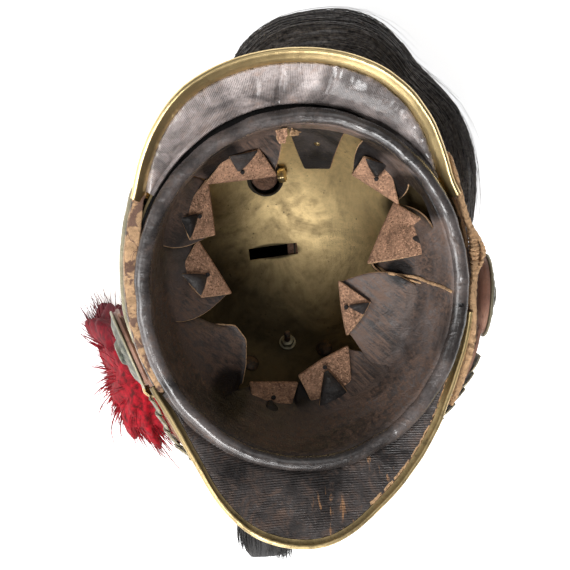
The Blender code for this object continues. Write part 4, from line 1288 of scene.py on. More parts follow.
class HELMET_OT_guards(bpy.types.Operator):
    """Makes the peak and the neck guard with their linings and bound edges."""

    bl_idname = "helmet.guards"
    bl_label = "Peak and neck guard"

    def execute(self, context):
        outer = trim_brass("guard_brass", dull=0.4, shine=0.26)
        # The bead's left side gets painted shade.
        bead = trim_brass("bead_edge_brass", dull=0.8, shine=0.42, painted_shade_left=True)
        flat = trim_brass("flat_edge_brass", dull=0.36, shine=0.34)
        edge = raw_edge("lining_edge")
        peak_size = {"reach": 0.043, "rise": 0.0245, "skew_deg": -1.5}
        peak = Guard("peak", 270.0, PEAK_ROWS, edge_profile=PEAK_EDGE, **peak_size)
        peak.plate(58.0, 60.0, outer)
        cracks = (((0.012, -0.135), 0.013), ((0.04, -0.112), 0.008))
        peak_leather = black_leather(
            "peak_leather", wear=1.5, gloss=0.4, pebble=0.7, ribs=0.6, pale=3.6,
            rib_scale=240.0, ribs_across=True, marks=cracks,
        )
        peak.lining(54.0, 55.0, peak_leather, edge, 0.0012, ((275.0, 0.0004),), (284.0, 330.0))
        peak.binding(58.0, 76.0, bead)
        neck_size = {"reach": 0.0295, "rise": 0.024, "skew_deg": 0.0}
        neck = Guard("neck_guard", 90.0, NECK_ROWS, edge_profile=NECK_EDGE, **neck_size)
        neck.plate(63.0, 58.0, outer)
        # Painted sheen: pale=22 makes this black leather far paler than the other pieces, for the light its
        # lining catches.
        neck_leather_painted_sheen = black_leather(
            "neck_leather_painted_sheen", wear=0.75, gloss=0.3, pebble=0.5, ribs=0.8, pale=22.0,
            rib_scale=330.0,
        )
        neck.lining(57.0, 56.0, neck_leather_painted_sheen, edge, 0.0034, ((94.0, 0.0016), (101.0, 0.0008), (80.0, 0.0007)))
        neck.binding(65.0, 60.0, flat)
        self.side_edge(tarnished_brass())
        return {"FINISHED"}

    def side_edge(self, finish):
        """The narrow brass edge that shows outside the hide on the wearer's left."""
        sections = []
        start_deg, span_deg, count = 143.0, 54.0, 60
        for i in range(count + 1):
            degrees = start_deg + span_deg * i / count
            angle = math.radians(degrees)
            standoff = look_up(TURBAN_ROWS, degrees)[2]
            out = skull_rim(angle) + HIDE_SEAT + HIDE_WALL + standoff * HIDE_STANDOFF + 0.0002
            outside = out + 0.0013 * min(1.0, (count - i) / 12 + 0.15, i / 8 + 0.15)
            top = RIM_Z - 0.0008 - 0.002 * (i / count) ** 2
            low, shoulder, inside = top - 0.006, top - 0.0003, out - 0.002
            ring = [(inside, low), (outside, low), (outside, shoulder), (out, top), (inside, shoulder)]
            sections.append(around(angle, ring))
        piece("left_side_edge", extrude_through(sections), [finish], sharp_deg=60)


# Liner


class HELMET_OT_padded_roll(bpy.types.Operator):
    """Makes the leather roll that pads the helmet's mouth."""

    bl_idname = "helmet.padded_roll"
    bl_label = "Padded roll"

    def execute(self, context):
        count, sides = 320, 20
        sections = []
        nicks = ((15.5, 0.0011), (50.0, 0.0008), (-63.0, 0.0009), (-1.5, 0.0012))
        for i in range(count):
            angle = math.tau * i / count
            spot = radial(angle)
            swell = 1.0 + 0.07 * wobble(spot, 4.0, 1.0) + 0.035 * wobble(spot, 17.0, 3.0)
            middle = liner_radius(angle) + ROLL_RADIUS + 0.0007 * wobble(spot, 7.0, 5.0)
            ring = []
            for k in range(sides):
                turn = math.tau * k / sides
                radius = ROLL_RADIUS * swell
                squash = 1.0 + 0.06 * math.cos(2 * turn)
                r = middle + radius * squash * math.cos(turn)
                z = ROLL_Z + radius * math.sin(turn) * (0.96 if math.sin(turn) < 0 else 1.0)
                point = liner_point(angle, r, z)
                away = (point - liner_point(angle, middle, ROLL_Z)).normalized()
                point += away * 0.00022 * wobble(point, 190.0, 2.0)
                for degrees, depth in nicks:
                    off = (math.degrees(angle) - degrees + 180.0) % 360.0 - 180.0
                    point.z -= depth * math.exp(-((off / 0.7) ** 2)) * max(math.sin(turn), 0.0) ** 3
                ring.append(point)
            sections.append(ring)
        bm = extrude_through(sections, round_run=True)
        # Where the roll gets a near-black spot of painted shade, for a pit.
        pit = ((0.0925, -0.0195), 0.0022, 0.0012)
        finish = black_leather(
            "roll_leather", wear=0.8, gloss=0.24, pebble=0.25, ribs=0.0, pale=5.0,
            pit=pit,
        )
        made = piece("padded_roll", bm, [finish], ["liner_roll"], sharp_deg=0)
        self.seat()
        return {"FINISHED"}

    def seat(self):
        """The leather that joins the roll to the skull's wall, just below the rim, coloured near black as
        painted shade in the gap.
        """
        sections = []
        for i in range(180):
            angle = math.tau * i / 180
            wall = skull_rim(angle) - 0.0015
            inside = min(roll_outside(angle) - 0.006, wall - 0.0015)
            low = RIM_Z - 0.0052
            ring = [(inside, low), (wall, low), (wall, RIM_Z - 0.004), (inside, RIM_Z - 0.0034)]
            sections.append(around(angle, ring))
        # pale=0.4 makes this leather near black: painted shade between the roll and the rim.
        finish = black_leather("seat_painted_shade", wear=0.2, gloss=0.7, pebble=0.8, ribs=0.0, pale=0.4)
        piece("roll_seat", extrude_through(sections, round_run=True), [finish])


Tongue = namedtuple("Tongue", "name start end fold flap depth flap_z bend_a bend_b sag spread")
TONGUES = (
    # start and end in degrees round the liner; fold and flap are lines in the plan, in millimetres,
    # from the start side to the end side; heights are millimetres below the rim
    Tongue(
        "rear_right", 37.0, 62.0, ((71, 37), (44, 57)),
        ((64, 62), (49, 67)), 64, 50, 2.2, 2.2, 2.0, 2.0,
    ),
    Tongue(
        "rear_left", 95.0, 130.0, ((-3, 59), (-24, 58), (-45, 57)),
        ((-13, 75), (-33, 72)), 66, 55, 2.0, 3.2, 3.0, 3.0,
    ),
    Tongue(
        "left_rear", 136.0, 162.0, ((-46, 57), (-45, 40), (-44, 23)),
        ((-64, 37), (-58, 22)), 66, 56, 2.2, 2.2, 1.0, 4.0,
    ),
    Tongue(
        "left_middle", 162.0, 195.0, ((-54, 20), (-44, 2), (-36, -13)),
        ((-66, 3), (-53, -13)), 66, 56, 2.2, 2.4, 1.5, 5.0,
    ),
    Tongue(
        "left_front", 195.0, 235.0, ((-46, -31), (-34, -33), (-28, -42), (-29, -57), (-32, -69)),
        None, 66, 0, 0, 0, 2.0, 7.0,
    ),
    Tongue(
        "front_left", 235.0, 270.0, ((-26, -70), (-11, -71), (3, -72)),
        ((-25, -90), (-6, -91)), 66, 52, 2.2, 2.2, 2.0, 4.0,
    ),
    Tongue(
        "front_right", 270.0, 312.0, ((5, -68), (20, -59), (36, -52)),
        ((12, -86), (35, -76)), 66, 53, 2.4, 2.4, 2.0, 6.0,
    ),
    Tongue(
        "right_front", 312.0, 353.0, ((37, -42), (35, -26), (34, -10)),
        ((45, -31), (50, -23)), 66, 57, 2.0, 2.0, 1.0, 8.0,
    ),
    Tongue(
        "right_rear", 353.0, 380.0, ((54, 0), (62, 17), (71, 35)),
        ((88, 8), (93, 20)), 68, 38, 6.0, 2.4, 1.0, 4.0,
    ),
)
# How far each tip is turned over again, as a share of its flap
TURNED_SHARE = {
    "rear_right": 0.6,
    "rear_left": 0.7,
    "left_rear": 0.55,
    "left_middle": 0.65,
    "front_left": 0.6,
    "front_right": 0.8,
    "right_front": 0.85,
    "right_rear": 0.6,
}
BAND_ROWS = (
    # degrees, then shares: lean and depth
    (0.0, 1.0, 1.0), (14.0, 0.8, 1.0), (20.0, 0.2, 0.3), (34.0, 0.15, 0.3), (38.0, 0.15, 1.0),
    (61.0, 0.2, 1.0), (66.0, 0.2, 0.5), (91.0, 0.3, 0.5), (96.0, 0.35, 1.0), (130.0, 0.45, 1.0),
    (158.0, 0.55, 1.0), (176.0, 1.0, 1.0), (360.0, 1.0, 1.0),
)
BAND_STEPS = 240
SHADE_POCKETS = (
    # centre in plan and reach of each painted shadow, near black, where the leather turns away behind a
    # tongue
    ((-0.038, 0.07), 0.013),
    ((0.045, 0.068), 0.013),
    ((0.076, 0.044), 0.014),
    ((-0.039, -0.07), 0.012),
    ((0.0035, -0.074), 0.008),
    ((0.068, -0.005), 0.007),
)


class HELMET_OT_sweatband(bpy.types.Operator):
    """Makes the leather band inside the roll, cut into tongues whose tips are folded back."""

    bl_idname = "helmet.sweatband"
    bl_label = "Sweatband and tongues"

    def execute(self, context):
        # These settings paint shade: the left side darker and near-black shadows behind the tongues.
        worn = {"streaks": 1.7, "left_painted_shade": True, "shade": SHADE_POCKETS}
        grain = black_leather(
            "band_leather", wear=0.85, gloss=0.4, pebble=0.6, ribs=0.0, pale=6.6,
            **worn,
        )
        flesh, edge = suede(), raw_edge("band_edge")
        bm = bmesh.new()
        layer = bm.verts.layers.float_vector.new("run")
        top = []
        for i in range(BAND_STEPS):
            angle = math.tau * i / BAND_STEPS
            top.append(bm.verts.new(liner_point(angle, liner_radius(angle) + 0.0004, ROLL_Z - 0.0005)))
        edges = [bm.edges.new((top[i], top[(i + 1) % BAND_STEPS])) for i in range(BAND_STEPS)]
        row = top
        rows = 14
        for k in range(1, rows + 1):
            share = k / rows
            row, edges = extrude_row(bm, row, edges)
            for i, vert in enumerate(row):
                angle = math.tau * i / BAND_STEPS
                slack = 0.0012 * wobble((math.cos(angle), math.sin(angle), share), 2.6, 4.0)
                slack += 0.0005 * wobble((math.cos(angle), math.sin(angle), share * 0.4), 11.0, 6.0)
                lean, cut = look_up(BAND_ROWS, math.degrees(angle))
                radius = liner_radius(angle) - 0.0012 + slack * share - BAND_LEAN * lean * share**1.3
                depth = BAND_DEPTH * cut * share
                vert.co = liner_point(angle, radius, ROLL_Z - depth)
                vert[layer] = (angle * 0.09, share, depth)
        self.tongues(bm, row, layer)
        finishes = [grain, flesh, edge]
        made = piece("sweatband_leather", bm, finishes, ["sweatband"], sharp_deg=0)
        outward = sum(face.center.xy.dot(face.normal.xy) for face in made.data.polygons[:200])
        if outward > 0:
            made.data.flip_normals()
        thicken(made, sizes().leather_wall, -1.0, 1, 2)
        made.data.set_sharp_from_angle(angle=math.radians(60))
        self.tips()
        self.curl()
        self.rear_tab()
        self.scrap()
        return {"FINISHED"}

    def line(self, points, share, z):
        """A point along a polyline of plan points, at a height below the rim."""
        at = share * (len(points) - 1)
        i = min(int(at), len(points) - 2)
        a, b = Vector(points[i]), Vector(points[i + 1])
        found = a.lerp(b, at - i) / 1000
        return Vector((found.x, found.y, RIM_Z - z / 1000))

    def tongues(self, bm, base_row, layer):
        for number, tongue in enumerate(TONGUES):
            first = round(tongue.start / 360 * BAND_STEPS)
            last = round(tongue.end / 360 * BAND_STEPS)
            row = [base_row[i % BAND_STEPS] for i in range(first, last + 1)]
            base = [vert.co.copy() for vert in row]
            edges = []
            for a, b in zip(row, row[1:]):
                edges.append(next(e for e in a.link_edges if e.other_vert(a) is b))
            for stop in self.path(tongue):
                row, edges = extrude_row(bm, row, edges)
                for k, vert in enumerate(row):
                    share = k / (len(row) - 1)
                    vert.co = stop(base[k], share)
                    vert.co.z += 0.0006 * wobble(vert.co, 70.0, number)
                    vert[layer] = (vert.co.x + vert.co.y, share, vert.co.z)

    def path(self, tongue):
        """Functions that give a tongue's point at each row, from its base point and share across."""
        order = (lambda share: share) if self.runs_forward(tongue) else (lambda share: 1 - share)

        def fold_point(share):
            return self.line(tongue.fold, order(share), tongue.depth)

        stops = []
        for step in (0.12, 0.26, 0.42, 0.58, 0.74, 0.88, 1.0):
            def neck(base, share, step=step):
                fold = fold_point(share)
                point = base.lerp(fold, step)
                point.z -= tongue.sag / 1000 * math.sin(math.pi * step)
                side = 2 * share - 1
                point.z -= 0.0012 * math.sin(math.pi * step) * (1 - side**2)
                across = fold_point(1.0) - fold_point(0.0)
                across.z = 0
                spread = tongue.spread / 1000 * math.sin(math.pi * step**0.8) * side * abs(side)
                return point + across.normalized() * spread
            stops.append(neck)
        if tongue.flap is None:
            def curl(base, share):
                fold = fold_point(share)
                inward = fold - base
                inward.z = 0
                return fold + inward.normalized() * 0.0018 + Vector((0, 0, 0.0012))
            stops.append(curl)
            return stops
        def flap_point(share):
            return self.line(tongue.flap, order(share), tongue.flap_z)

        for turn in (35, 80, 125, 165):
            def bend(base, share, turn=turn):
                fold, far = fold_point(share), flap_point(share)
                mixed = order(share)
                radius = (tongue.bend_a * (1 - mixed) + tongue.bend_b * mixed) / 1000 / 2 + 0.0004
                inward = fold - far
                inward.z = 0
                inward.normalize()
                angle = math.radians(turn)
                centre = fold + Vector((0, 0, radius))
                return centre + inward * radius * math.sin(angle) - Vector((0, 0, radius * math.cos(angle)))
            stops.append(bend)
        for step in (0.18, 0.38, 0.58, 0.78, 0.92, 1.0):
            def flap(base, share, step=step):
                fold, far = fold_point(share), flap_point(share)
                mixed = order(share)
                radius = (tongue.bend_a * (1 - mixed) + tongue.bend_b * mixed) / 1000 / 2 + 0.0004
                start = fold + Vector((0, 0, 2 * radius))
                point = start.lerp(far, step)
                lift = max(0.0, base.z + 0.0025 - point.z) if tongue.name == "right_rear" else 0.0
                point.z += lift * step
                point.z += 0.0008 * math.sin(math.pi * step)
                return point
            stops.append(flap)
        return stops

    def runs_forward(self, tongue):
        """Whether the fold's points run the same way round the liner as the base does."""
        centre = Vector((LINER_CENTRE.x * 1000, LINER_CENTRE.y * 1000))
        first, last = Vector(tongue.fold[0]) - centre, Vector(tongue.fold[-1]) - centre
        return first.x * last.y - first.y * last.x > 0

    def tips(self):
        """The small corner on each flap that is turned over again, with its lace hole as a near-black disc of
        painted shade.
        """
        grain = black_leather(
            "tip_leather", wear=0.5, gloss=0.42, pebble=0.8, ribs=0.8, pale=3.2,
            rib_scale=500.0, ribs_across=True,
        )
        flesh = suede("tip_suede")
        edge = raw_edge("tip_edge")
        # Painted shade: each lace hole is a near-black disc for the dark seen through it.
        hole_shade_finish = Finish("lace_hole", 0.9)
        hole_shade_finish.set(Base_Color=(0.012, 0.009, 0.008))
        joined, holes = bmesh.new(), bmesh.new()
        for number, tongue in enumerate(TONGUES):
            if tongue.flap is None:
                continue
            far_a, far_b = (self.line(tongue.flap, end, tongue.flap_z) for end in (0.0, 1.0))
            fold = self.line(tongue.fold, 0.5, tongue.depth)
            fold.z += (tongue.bend_a + tongue.bend_b) / 2000 + 0.0008
            far = (far_a + far_b) / 2
            if tongue.name == "right_rear":
                far.z = max(far.z, ROLL_Z - BAND_DEPTH + 0.004)
            inward = fold - far
            reach = inward.length * TURNED_SHARE[tongue.name]
            inward.normalize()
            across = (far_b - far_a).normalized()
            up = across.cross(inward).normalized()
            if up.z < 0:
                up = -up
            half = min((far_b - far_a).length * 0.48, 0.0108)
            lifted = far + up * 0.003 - inward * 0.0008
            sections = []
            for k in range(9):
                share = k / 8
                width = half * (1 - share * 0.9)
                aside = across * half * 0.25 * math.sin(2.1 * number) * share
                centre = lifted + inward * reach * share + aside
                rise = 0.003 * math.sin(math.pi * min(share * 1.15, 1.0)) ** 0.7 + 0.0006
                line = []
                for side in (-1, -0.5, 0, 0.5, 1):
                    line.append(centre + across * width * side + up * (rise * (1 - side * side * 0.7)))
                sections.append(line)
            join(joined, extrude_through(sections, round_section=False))
            ring = bmesh.new()
            shape = {"segments": 14, "radius1": 0.0014, "radius2": 0.0012, "depth": 0.001}
            bmesh.ops.create_cone(ring, cap_ends=True, **shape)
            place(ring, lifted + inward * reach * 1.12 + up * 0.0004, up)
            join(holes, ring)
        made = piece("tip_corners", joined, [grain, flesh, edge], sharp_deg=0)
        thicken(made, 0.0012, 0.0, 1, 2)
        piece("lace_holes", holes, [hole_shade_finish.material])

    def curl(self):
        """The twisted edge between the two tongues on the wearer's right."""
        route = (
            # plan position, millimetres below the rim, and height of the sheet
            (99.0, -20.0, 4.0, 5.0),
            (91.0, -18.5, 16.0, 9.0),
            (82.0, -13.0, 32.0, 14.0),
            (73.0, -9.5, 44.0, 17.0),
            (62.0, -8.5, 54.0, 16.0),
            (54.5, -3.5, 61.0, 11.0),
            (53.0, 1.5, 64.0, 6.0),
        )
        sections = []
        for i in range(49):
            x, y, z, tall = catmull(route, i / 48)
            after = catmull(route, min(i / 48 + 0.02, 1.0))
            before = catmull(route, max(i / 48 - 0.02, 0.0))
            run = Vector((after[0] - before[0], after[1] - before[1], 0)).normalized()
            side = Vector((-run.y, run.x, 0))
            top = Vector((x, y, 0)) / 1000 + Vector((0, 0, RIM_Z - z / 1000))
            top += side * 0.0008 * wobble(top, 120.0)
            line = []
            for share in (0.0, 0.25, 0.5, 0.75, 1.0):
                lean = 0.0045 * share**1.5 - 0.001 * math.sin(math.pi * share)
                line.append(top - side * lean - Vector((0, 0, tall / 1000 * share)))
            sections.append(line)
        bm = extrude_through(sections, round_section=False)
        grain = black_leather("curl_leather", wear=0.7, gloss=0.42, pebble=0.6, ribs=0.0, pale=2.4)
        made = piece("twisted_edge", bm, [grain, raw_edge("curl_edge")], sharp_deg=0)
        thicken(made, 0.0018, 0.0, 0, 1)
        self.split_ridge()

    def split_ridge(self):
        """The torn raw edge from that fold up to the roll, laid on the band where the eye sees it."""
        route = (
            # where the eye's line crosses the rim's plane, in millimetres
            (44.9, 6.7), (50.6, 1.9), (58.5, -0.5), (68.2, -2.4), (76.0, -6.0), (83.8, -9.2),
            (89.5, -12.5),
        )
        eye = towards_eye() * EYE_DISTANCE + Vector((0, 0, RIM_Z))
        view = bpy.context.evaluated_depsgraph_get()
        tree = BVHTree.FromObject(bpy.data.objects["sweatband_leather"], view)
        count = 61
        rays, reach = [], []
        for i in range(count):
            x, y = catmull(route, i / (count - 1))
            ray = (Vector((x / 1000, y / 1000, RIM_Z)) - eye).normalized()
            distance = tree.ray_cast(eye, ray)[3]
            rays.append(ray)
            reach.append(distance if distance else reach[-1] if reach else EYE_DISTANCE + 0.05)
        sections = []
        for i, ray in enumerate(rays):
            near = reach[max(i - 3, 0) : i + 4]
            point = eye + ray * (sum(near) / len(near) - 0.0012)
            run = (rays[min(i + 1, count - 1)] - rays[max(i - 1, 0)]).normalized()
            side = run.cross(ray).normalized()
            size = 0.0009 * (1.0 + 0.35 * wobble(point, 260.0)) * min(1.0, (i + 2) / 8)
            ring = []
            for k in range(8):
                turn = math.tau * k / 8
                ring.append(point + side * (math.cos(turn) * size) + ray * (math.sin(turn) * size * 0.7))
            sections.append(ring)
        torn = raw_edge("ridge_edge")
        piece("split_ridge", extrude_through(sections), [torn], sharp_deg=0)

    def rear_tab(self):
        """The tapering tab of leather that lies down the back wall, with its small rivet."""
        sections = []
        rows = 14
        for k in range(rows + 1):
            share = k / rows
            left = Vector((0.0055, 0.0905)).lerp(Vector((0.0215, 0.0555)), share)
            right = Vector((0.043, 0.088)).lerp(Vector((0.037, 0.055)), share)
            line = []
            for j in range(9):
                at = left.lerp(right, j / 8)
                z = skull_z(at.x, at.y, 0.0013) + 0.0035 + 0.0008 * wobble((at.x, at.y, 0), 60.0)
                line.append(Vector((at.x, at.y, z)))
            sections.append(line)
        leather = black_leather("tab_leather", wear=0.15, gloss=0.5, pebble=0.6, ribs=0.0, pale=3.0)
        bm = extrude_through(sections, round_section=False)
        made = piece("rear_tab", bm, [leather, raw_edge("tab_edge")], sharp_deg=0)
        thicken(made, 0.0016, 0.0, 0, 1)
        at = Vector((0.0275, 0.0725))
        seat = Vector((at.x, at.y, skull_z(at.x, at.y, 0.0013) + 0.0042))
        head = [(0.0, 0.0), (0.0019, 0.0), (0.0018, 0.0006), (0.0009, 0.0011), (0.0, 0.0012)]
        rivet = place(turn_profile(head, 20), seat, inner_wall(at)[1])
        piece("tab_rivet", rivet, [trim_brass("rivet_brass", dull=0.5, shine=0.3)])

    def scrap(self):
        """The torn end of leather that hangs inside the roll at the back."""
        pieces = bmesh.new()
        torn = (
            # plan position and size in millimetres, and a turn in degrees
            (-4.5, 88.0, 8.5, 9.0, 8.0),
            (1.0, 86.0, 5.0, 6.0, 70.0),
        )
        for number, (x, y, width, length, turn) in enumerate(torn):
            sections = []
            for k in range(8):
                share = k / 7
                line = []
                for j in range(7):
                    side = j / 6 - 0.5
                    ragged = 1.0 + 0.5 * wobble((side * 5, number, share), 3.0)
                    across = side * width * (1 - 0.5 * share) * ragged
                    spot = Vector((across, -share * length * ragged, 0)) / 1000
                    spot.rotate(Matrix.Rotation(math.radians(turn), 3, "Z"))
                    z = RIM_Z - 0.012 - 0.007 * share + 0.0022 * wobble((side * 4, share * 3, number), 1.7)
                    line.append(Vector((x / 1000, y / 1000, z)) + spot)
                sections.append(line)
            join(pieces, extrude_through(sections, round_section=False))
        finishes = [suede("scrap_suede"), raw_edge("scrap_edge")]
        made = piece("torn_leather", pieces, finishes, sharp_deg=0)
        thicken(made, 0.0011, 0.0, 1, 1)


# Chin strap

STRAP_START_DEG = 200.5
STRAP_SPAN_DEG = 149.5
STRAP_ROWS = (
    # shares: of the way from the left rosette to the right one, and of the standoff
    (-0.1, 0.62), (-0.05, 0.44), (0.0, 0.28), (0.08, 0.29), (0.12, 0.36), (0.16, 0.66), (0.2, 1.0),
    (0.25, 1.18), (0.34, 1.2), (0.5, 0.78), (0.66, 1.12), (0.76, 1.36), (0.86, 1.42), (0.94, 1.32),
    (1.0, 1.2),
)


def strap_point(share):
    angle = math.radians(STRAP_START_DEG + STRAP_SPAN_DEG * share)
    standoff = look_up(STRAP_ROWS, share)[0] * STRAP_STANDOFF
    front = math.sin(math.pi * share) ** 2
    lift = 0.006 * min(max(min(share, 1 - share) / 0.1, 0.0), 1.0)
    z = RIM_Z - 0.03 + lift - 0.01 * front
    return radial(angle) * (skull_rim(angle) + standoff) + Vector((0, 0, z))


def strap_frame(share):
    """A point of the strap's inner face, and the way out from it."""
    run = strap_point(share + 0.02) - strap_point(share - 0.02)
    return strap_point(share), Vector((run.y, -run.x, 0)).normalized()


class HELMET_OT_chin_strap(bpy.types.Operator):
    """Makes the strap with its lapped scales, rosettes, ear pads and buckle."""

    bl_idname = "helmet.chin_strap"
    bl_label = "Chin strap"

    def execute(self, context):
        leather, metal = strap_leather(), tarnished_brass()
        up = Vector((0, 0, STRAP_WIDTH / 2))
        outer = ((-1, 0.1), (-1, 0.9), (-0.94, 1), (-0.4, 1), (0.4, 1), (0.94, 1), (1, 0.9), (1, 0.1))
        outline = outer + ((0.94, 0), (-0.94, 0))
        sections = []
        for i in range(181):
            centre, out = strap_frame(-0.085 + 1.085 * i / 180)
            ragged = 0.0004 * wobble(centre, 120.0, 3.0)
            shift = Vector((0, 0, ragged))
            ring = []
            for across, off in outline:
                ring.append(centre + up * across + shift + out * STRAP_WALL * off)
            sections.append(ring)
        piece("strap_leather_band", extrude_through(sections), [leather], ["chin_strap"])
        for side in ("left", "right"):
            self.scales(side, metal)
            self.rosette(side, metal, leather)
        self.buckle(metal)
        return {"FINISHED"}

    def scales(self, side, metal):
        count = sizes().scales
        made = bmesh.new()
        for i in range(count):
            sections = []
            for k in range(9):
                part = k / 8
                degrees = 17.0 + 45.0 * (i + part * 1.16) / count
                share = degrees / STRAP_SPAN_DEG
                if side == "right":
                    share = 1 - share
                centre, out = strap_frame(share)
                half = STRAP_WIDTH / 2 * (0.98 + 0.1 * math.sin(math.pi * part))
                if part > 0.7:
                    half *= math.sqrt(max(1 - ((part - 0.7) / 0.31) ** 2, 0.02)) * 0.45 + 0.55
                base = STRAP_TOP + 0.0018 * (1 - part) + 0.0001 * (i % 2)
                ring = []
                for across in (-1.0, -0.8, -0.4, 0.0, 0.4, 0.8, 1.0):
                    crown = 0.0012 * (1 - across * across)
                    ring.append(centre + Vector((0, 0, half * across)) + out * (base + crown + 0.0008))
                for across in (1.0, 0.4, -0.4, -1.0):
                    crown = 0.0012 * (1 - across * across)
                    ring.append(centre + Vector((0, 0, half * across)) + out * (base + crown))
                sections.append(ring)
            join(made, extrude_through(sections))
        piece(f"chin_scales_{side}", made, [metal], [f"scales_{side}"], sharp_deg=45)

    def rosette(self, side, metal, leather):
        centre, out = strap_frame(0.0 if side == "left" else 1.0)
        seat = STRAP_TOP
        profile = [
            (0.0, seat), (0.015, seat), (0.0246, seat + 0.0014), (0.025, seat + 0.0019),
            (0.0246, seat + 0.0027), (0.0236, seat + 0.003), (0.0222, seat + 0.0028),
            (0.0208, seat + 0.0034), (0.017, seat + 0.0048), (0.012, seat + 0.0056),
            (0.0092, seat + 0.0054), (0.008, seat + 0.006), (0.0064, seat + 0.008),
            (0.0034, seat + 0.0085), (0.0, seat + 0.0086),
        ]
        disc = turn_profile(profile, 96)
        for vert in disc.verts:
            radius = math.hypot(vert.co.x, vert.co.y)
            if 0.0095 < radius < 0.0215 and vert.co.z > seat + 0.002:
                turn = math.atan2(vert.co.y, vert.co.x)
                petal = abs(math.sin(turn * 8))
                inside = math.sin(math.pi * (radius - 0.0095) / 0.012)
                vert.co.z += (petal - 0.5) * 0.0009 * inside
        piece(f"ear_rosette_{side}", place(disc, centre, out), [metal], [f"rosette_{side}"])
        pad = turn_profile(
            [
                (0.0, -0.0024), (0.015, -0.0024), (0.023, 0.0006), (0.0238, 0.0016),
                (0.0234, 0.0034), (0.015, 0.0022), (0.0, 0.0022),
            ],
            48,
        )
        place(pad, centre, out)
        piece(f"ear_leather_{side}", pad, [leather], [f"ear_pad_{side}"])

    def buckle(self, metal):
        sections = []
        for k in range(13):
            share = 0.5 + (k / 12 - 0.5) * 0.1045
            centre, out = strap_frame(share)
            ring = []
            for across, off in ((-1, 0.0), (-1, 0.8), (-0.9, 1), (0.9, 1), (1, 0.8), (1, 0.0)):
                ring.append(centre + Vector((0, 0, 0.0132 * across)) + out * (STRAP_TOP + 0.0022 * off))
            sections.append(ring)
        piece("strap_frame", extrude_through(sections), [metal], ["strap_buckle"])


# Plume, tuft and mane

SOCKET_CENTRE = Vector((-0.0852, -0.0642))
PLUME_HEIGHT = 0.111
PLUME_HALF_WIDTH = 0.028
PLUME_HALF_LENGTH = 0.05
PLUME_ROWS = (
    # shares: height, outward, forward, half width and half length
    (1.0, 0.0, 0.0, 0.14, 0.08),
    (0.955, 0.06, 0.0, 0.52, 0.42),
    (0.85, 0.18, 0.0, 0.86, 0.76),
    (0.68, 0.32, 0.02, 1.0, 0.96),
    (0.47, 0.42, 0.04, 1.0, 1.0),
    (0.26, 0.48, 0.08, 0.94, 0.97),
    (0.1, 0.5, 0.1, 0.84, 0.86),
    (0.0, 0.5, 0.12, 0.68, 0.7),
)
THIN_ROWS = (
    # metres behind the socket, and share of the full width
    (-0.05, 0.92), (-0.034, 0.8), (-0.018, 0.71), (0.004, 0.66), (0.014, 0.68), (0.026, 0.94),
    (0.036, 1.0), (0.046, 0.92),
)


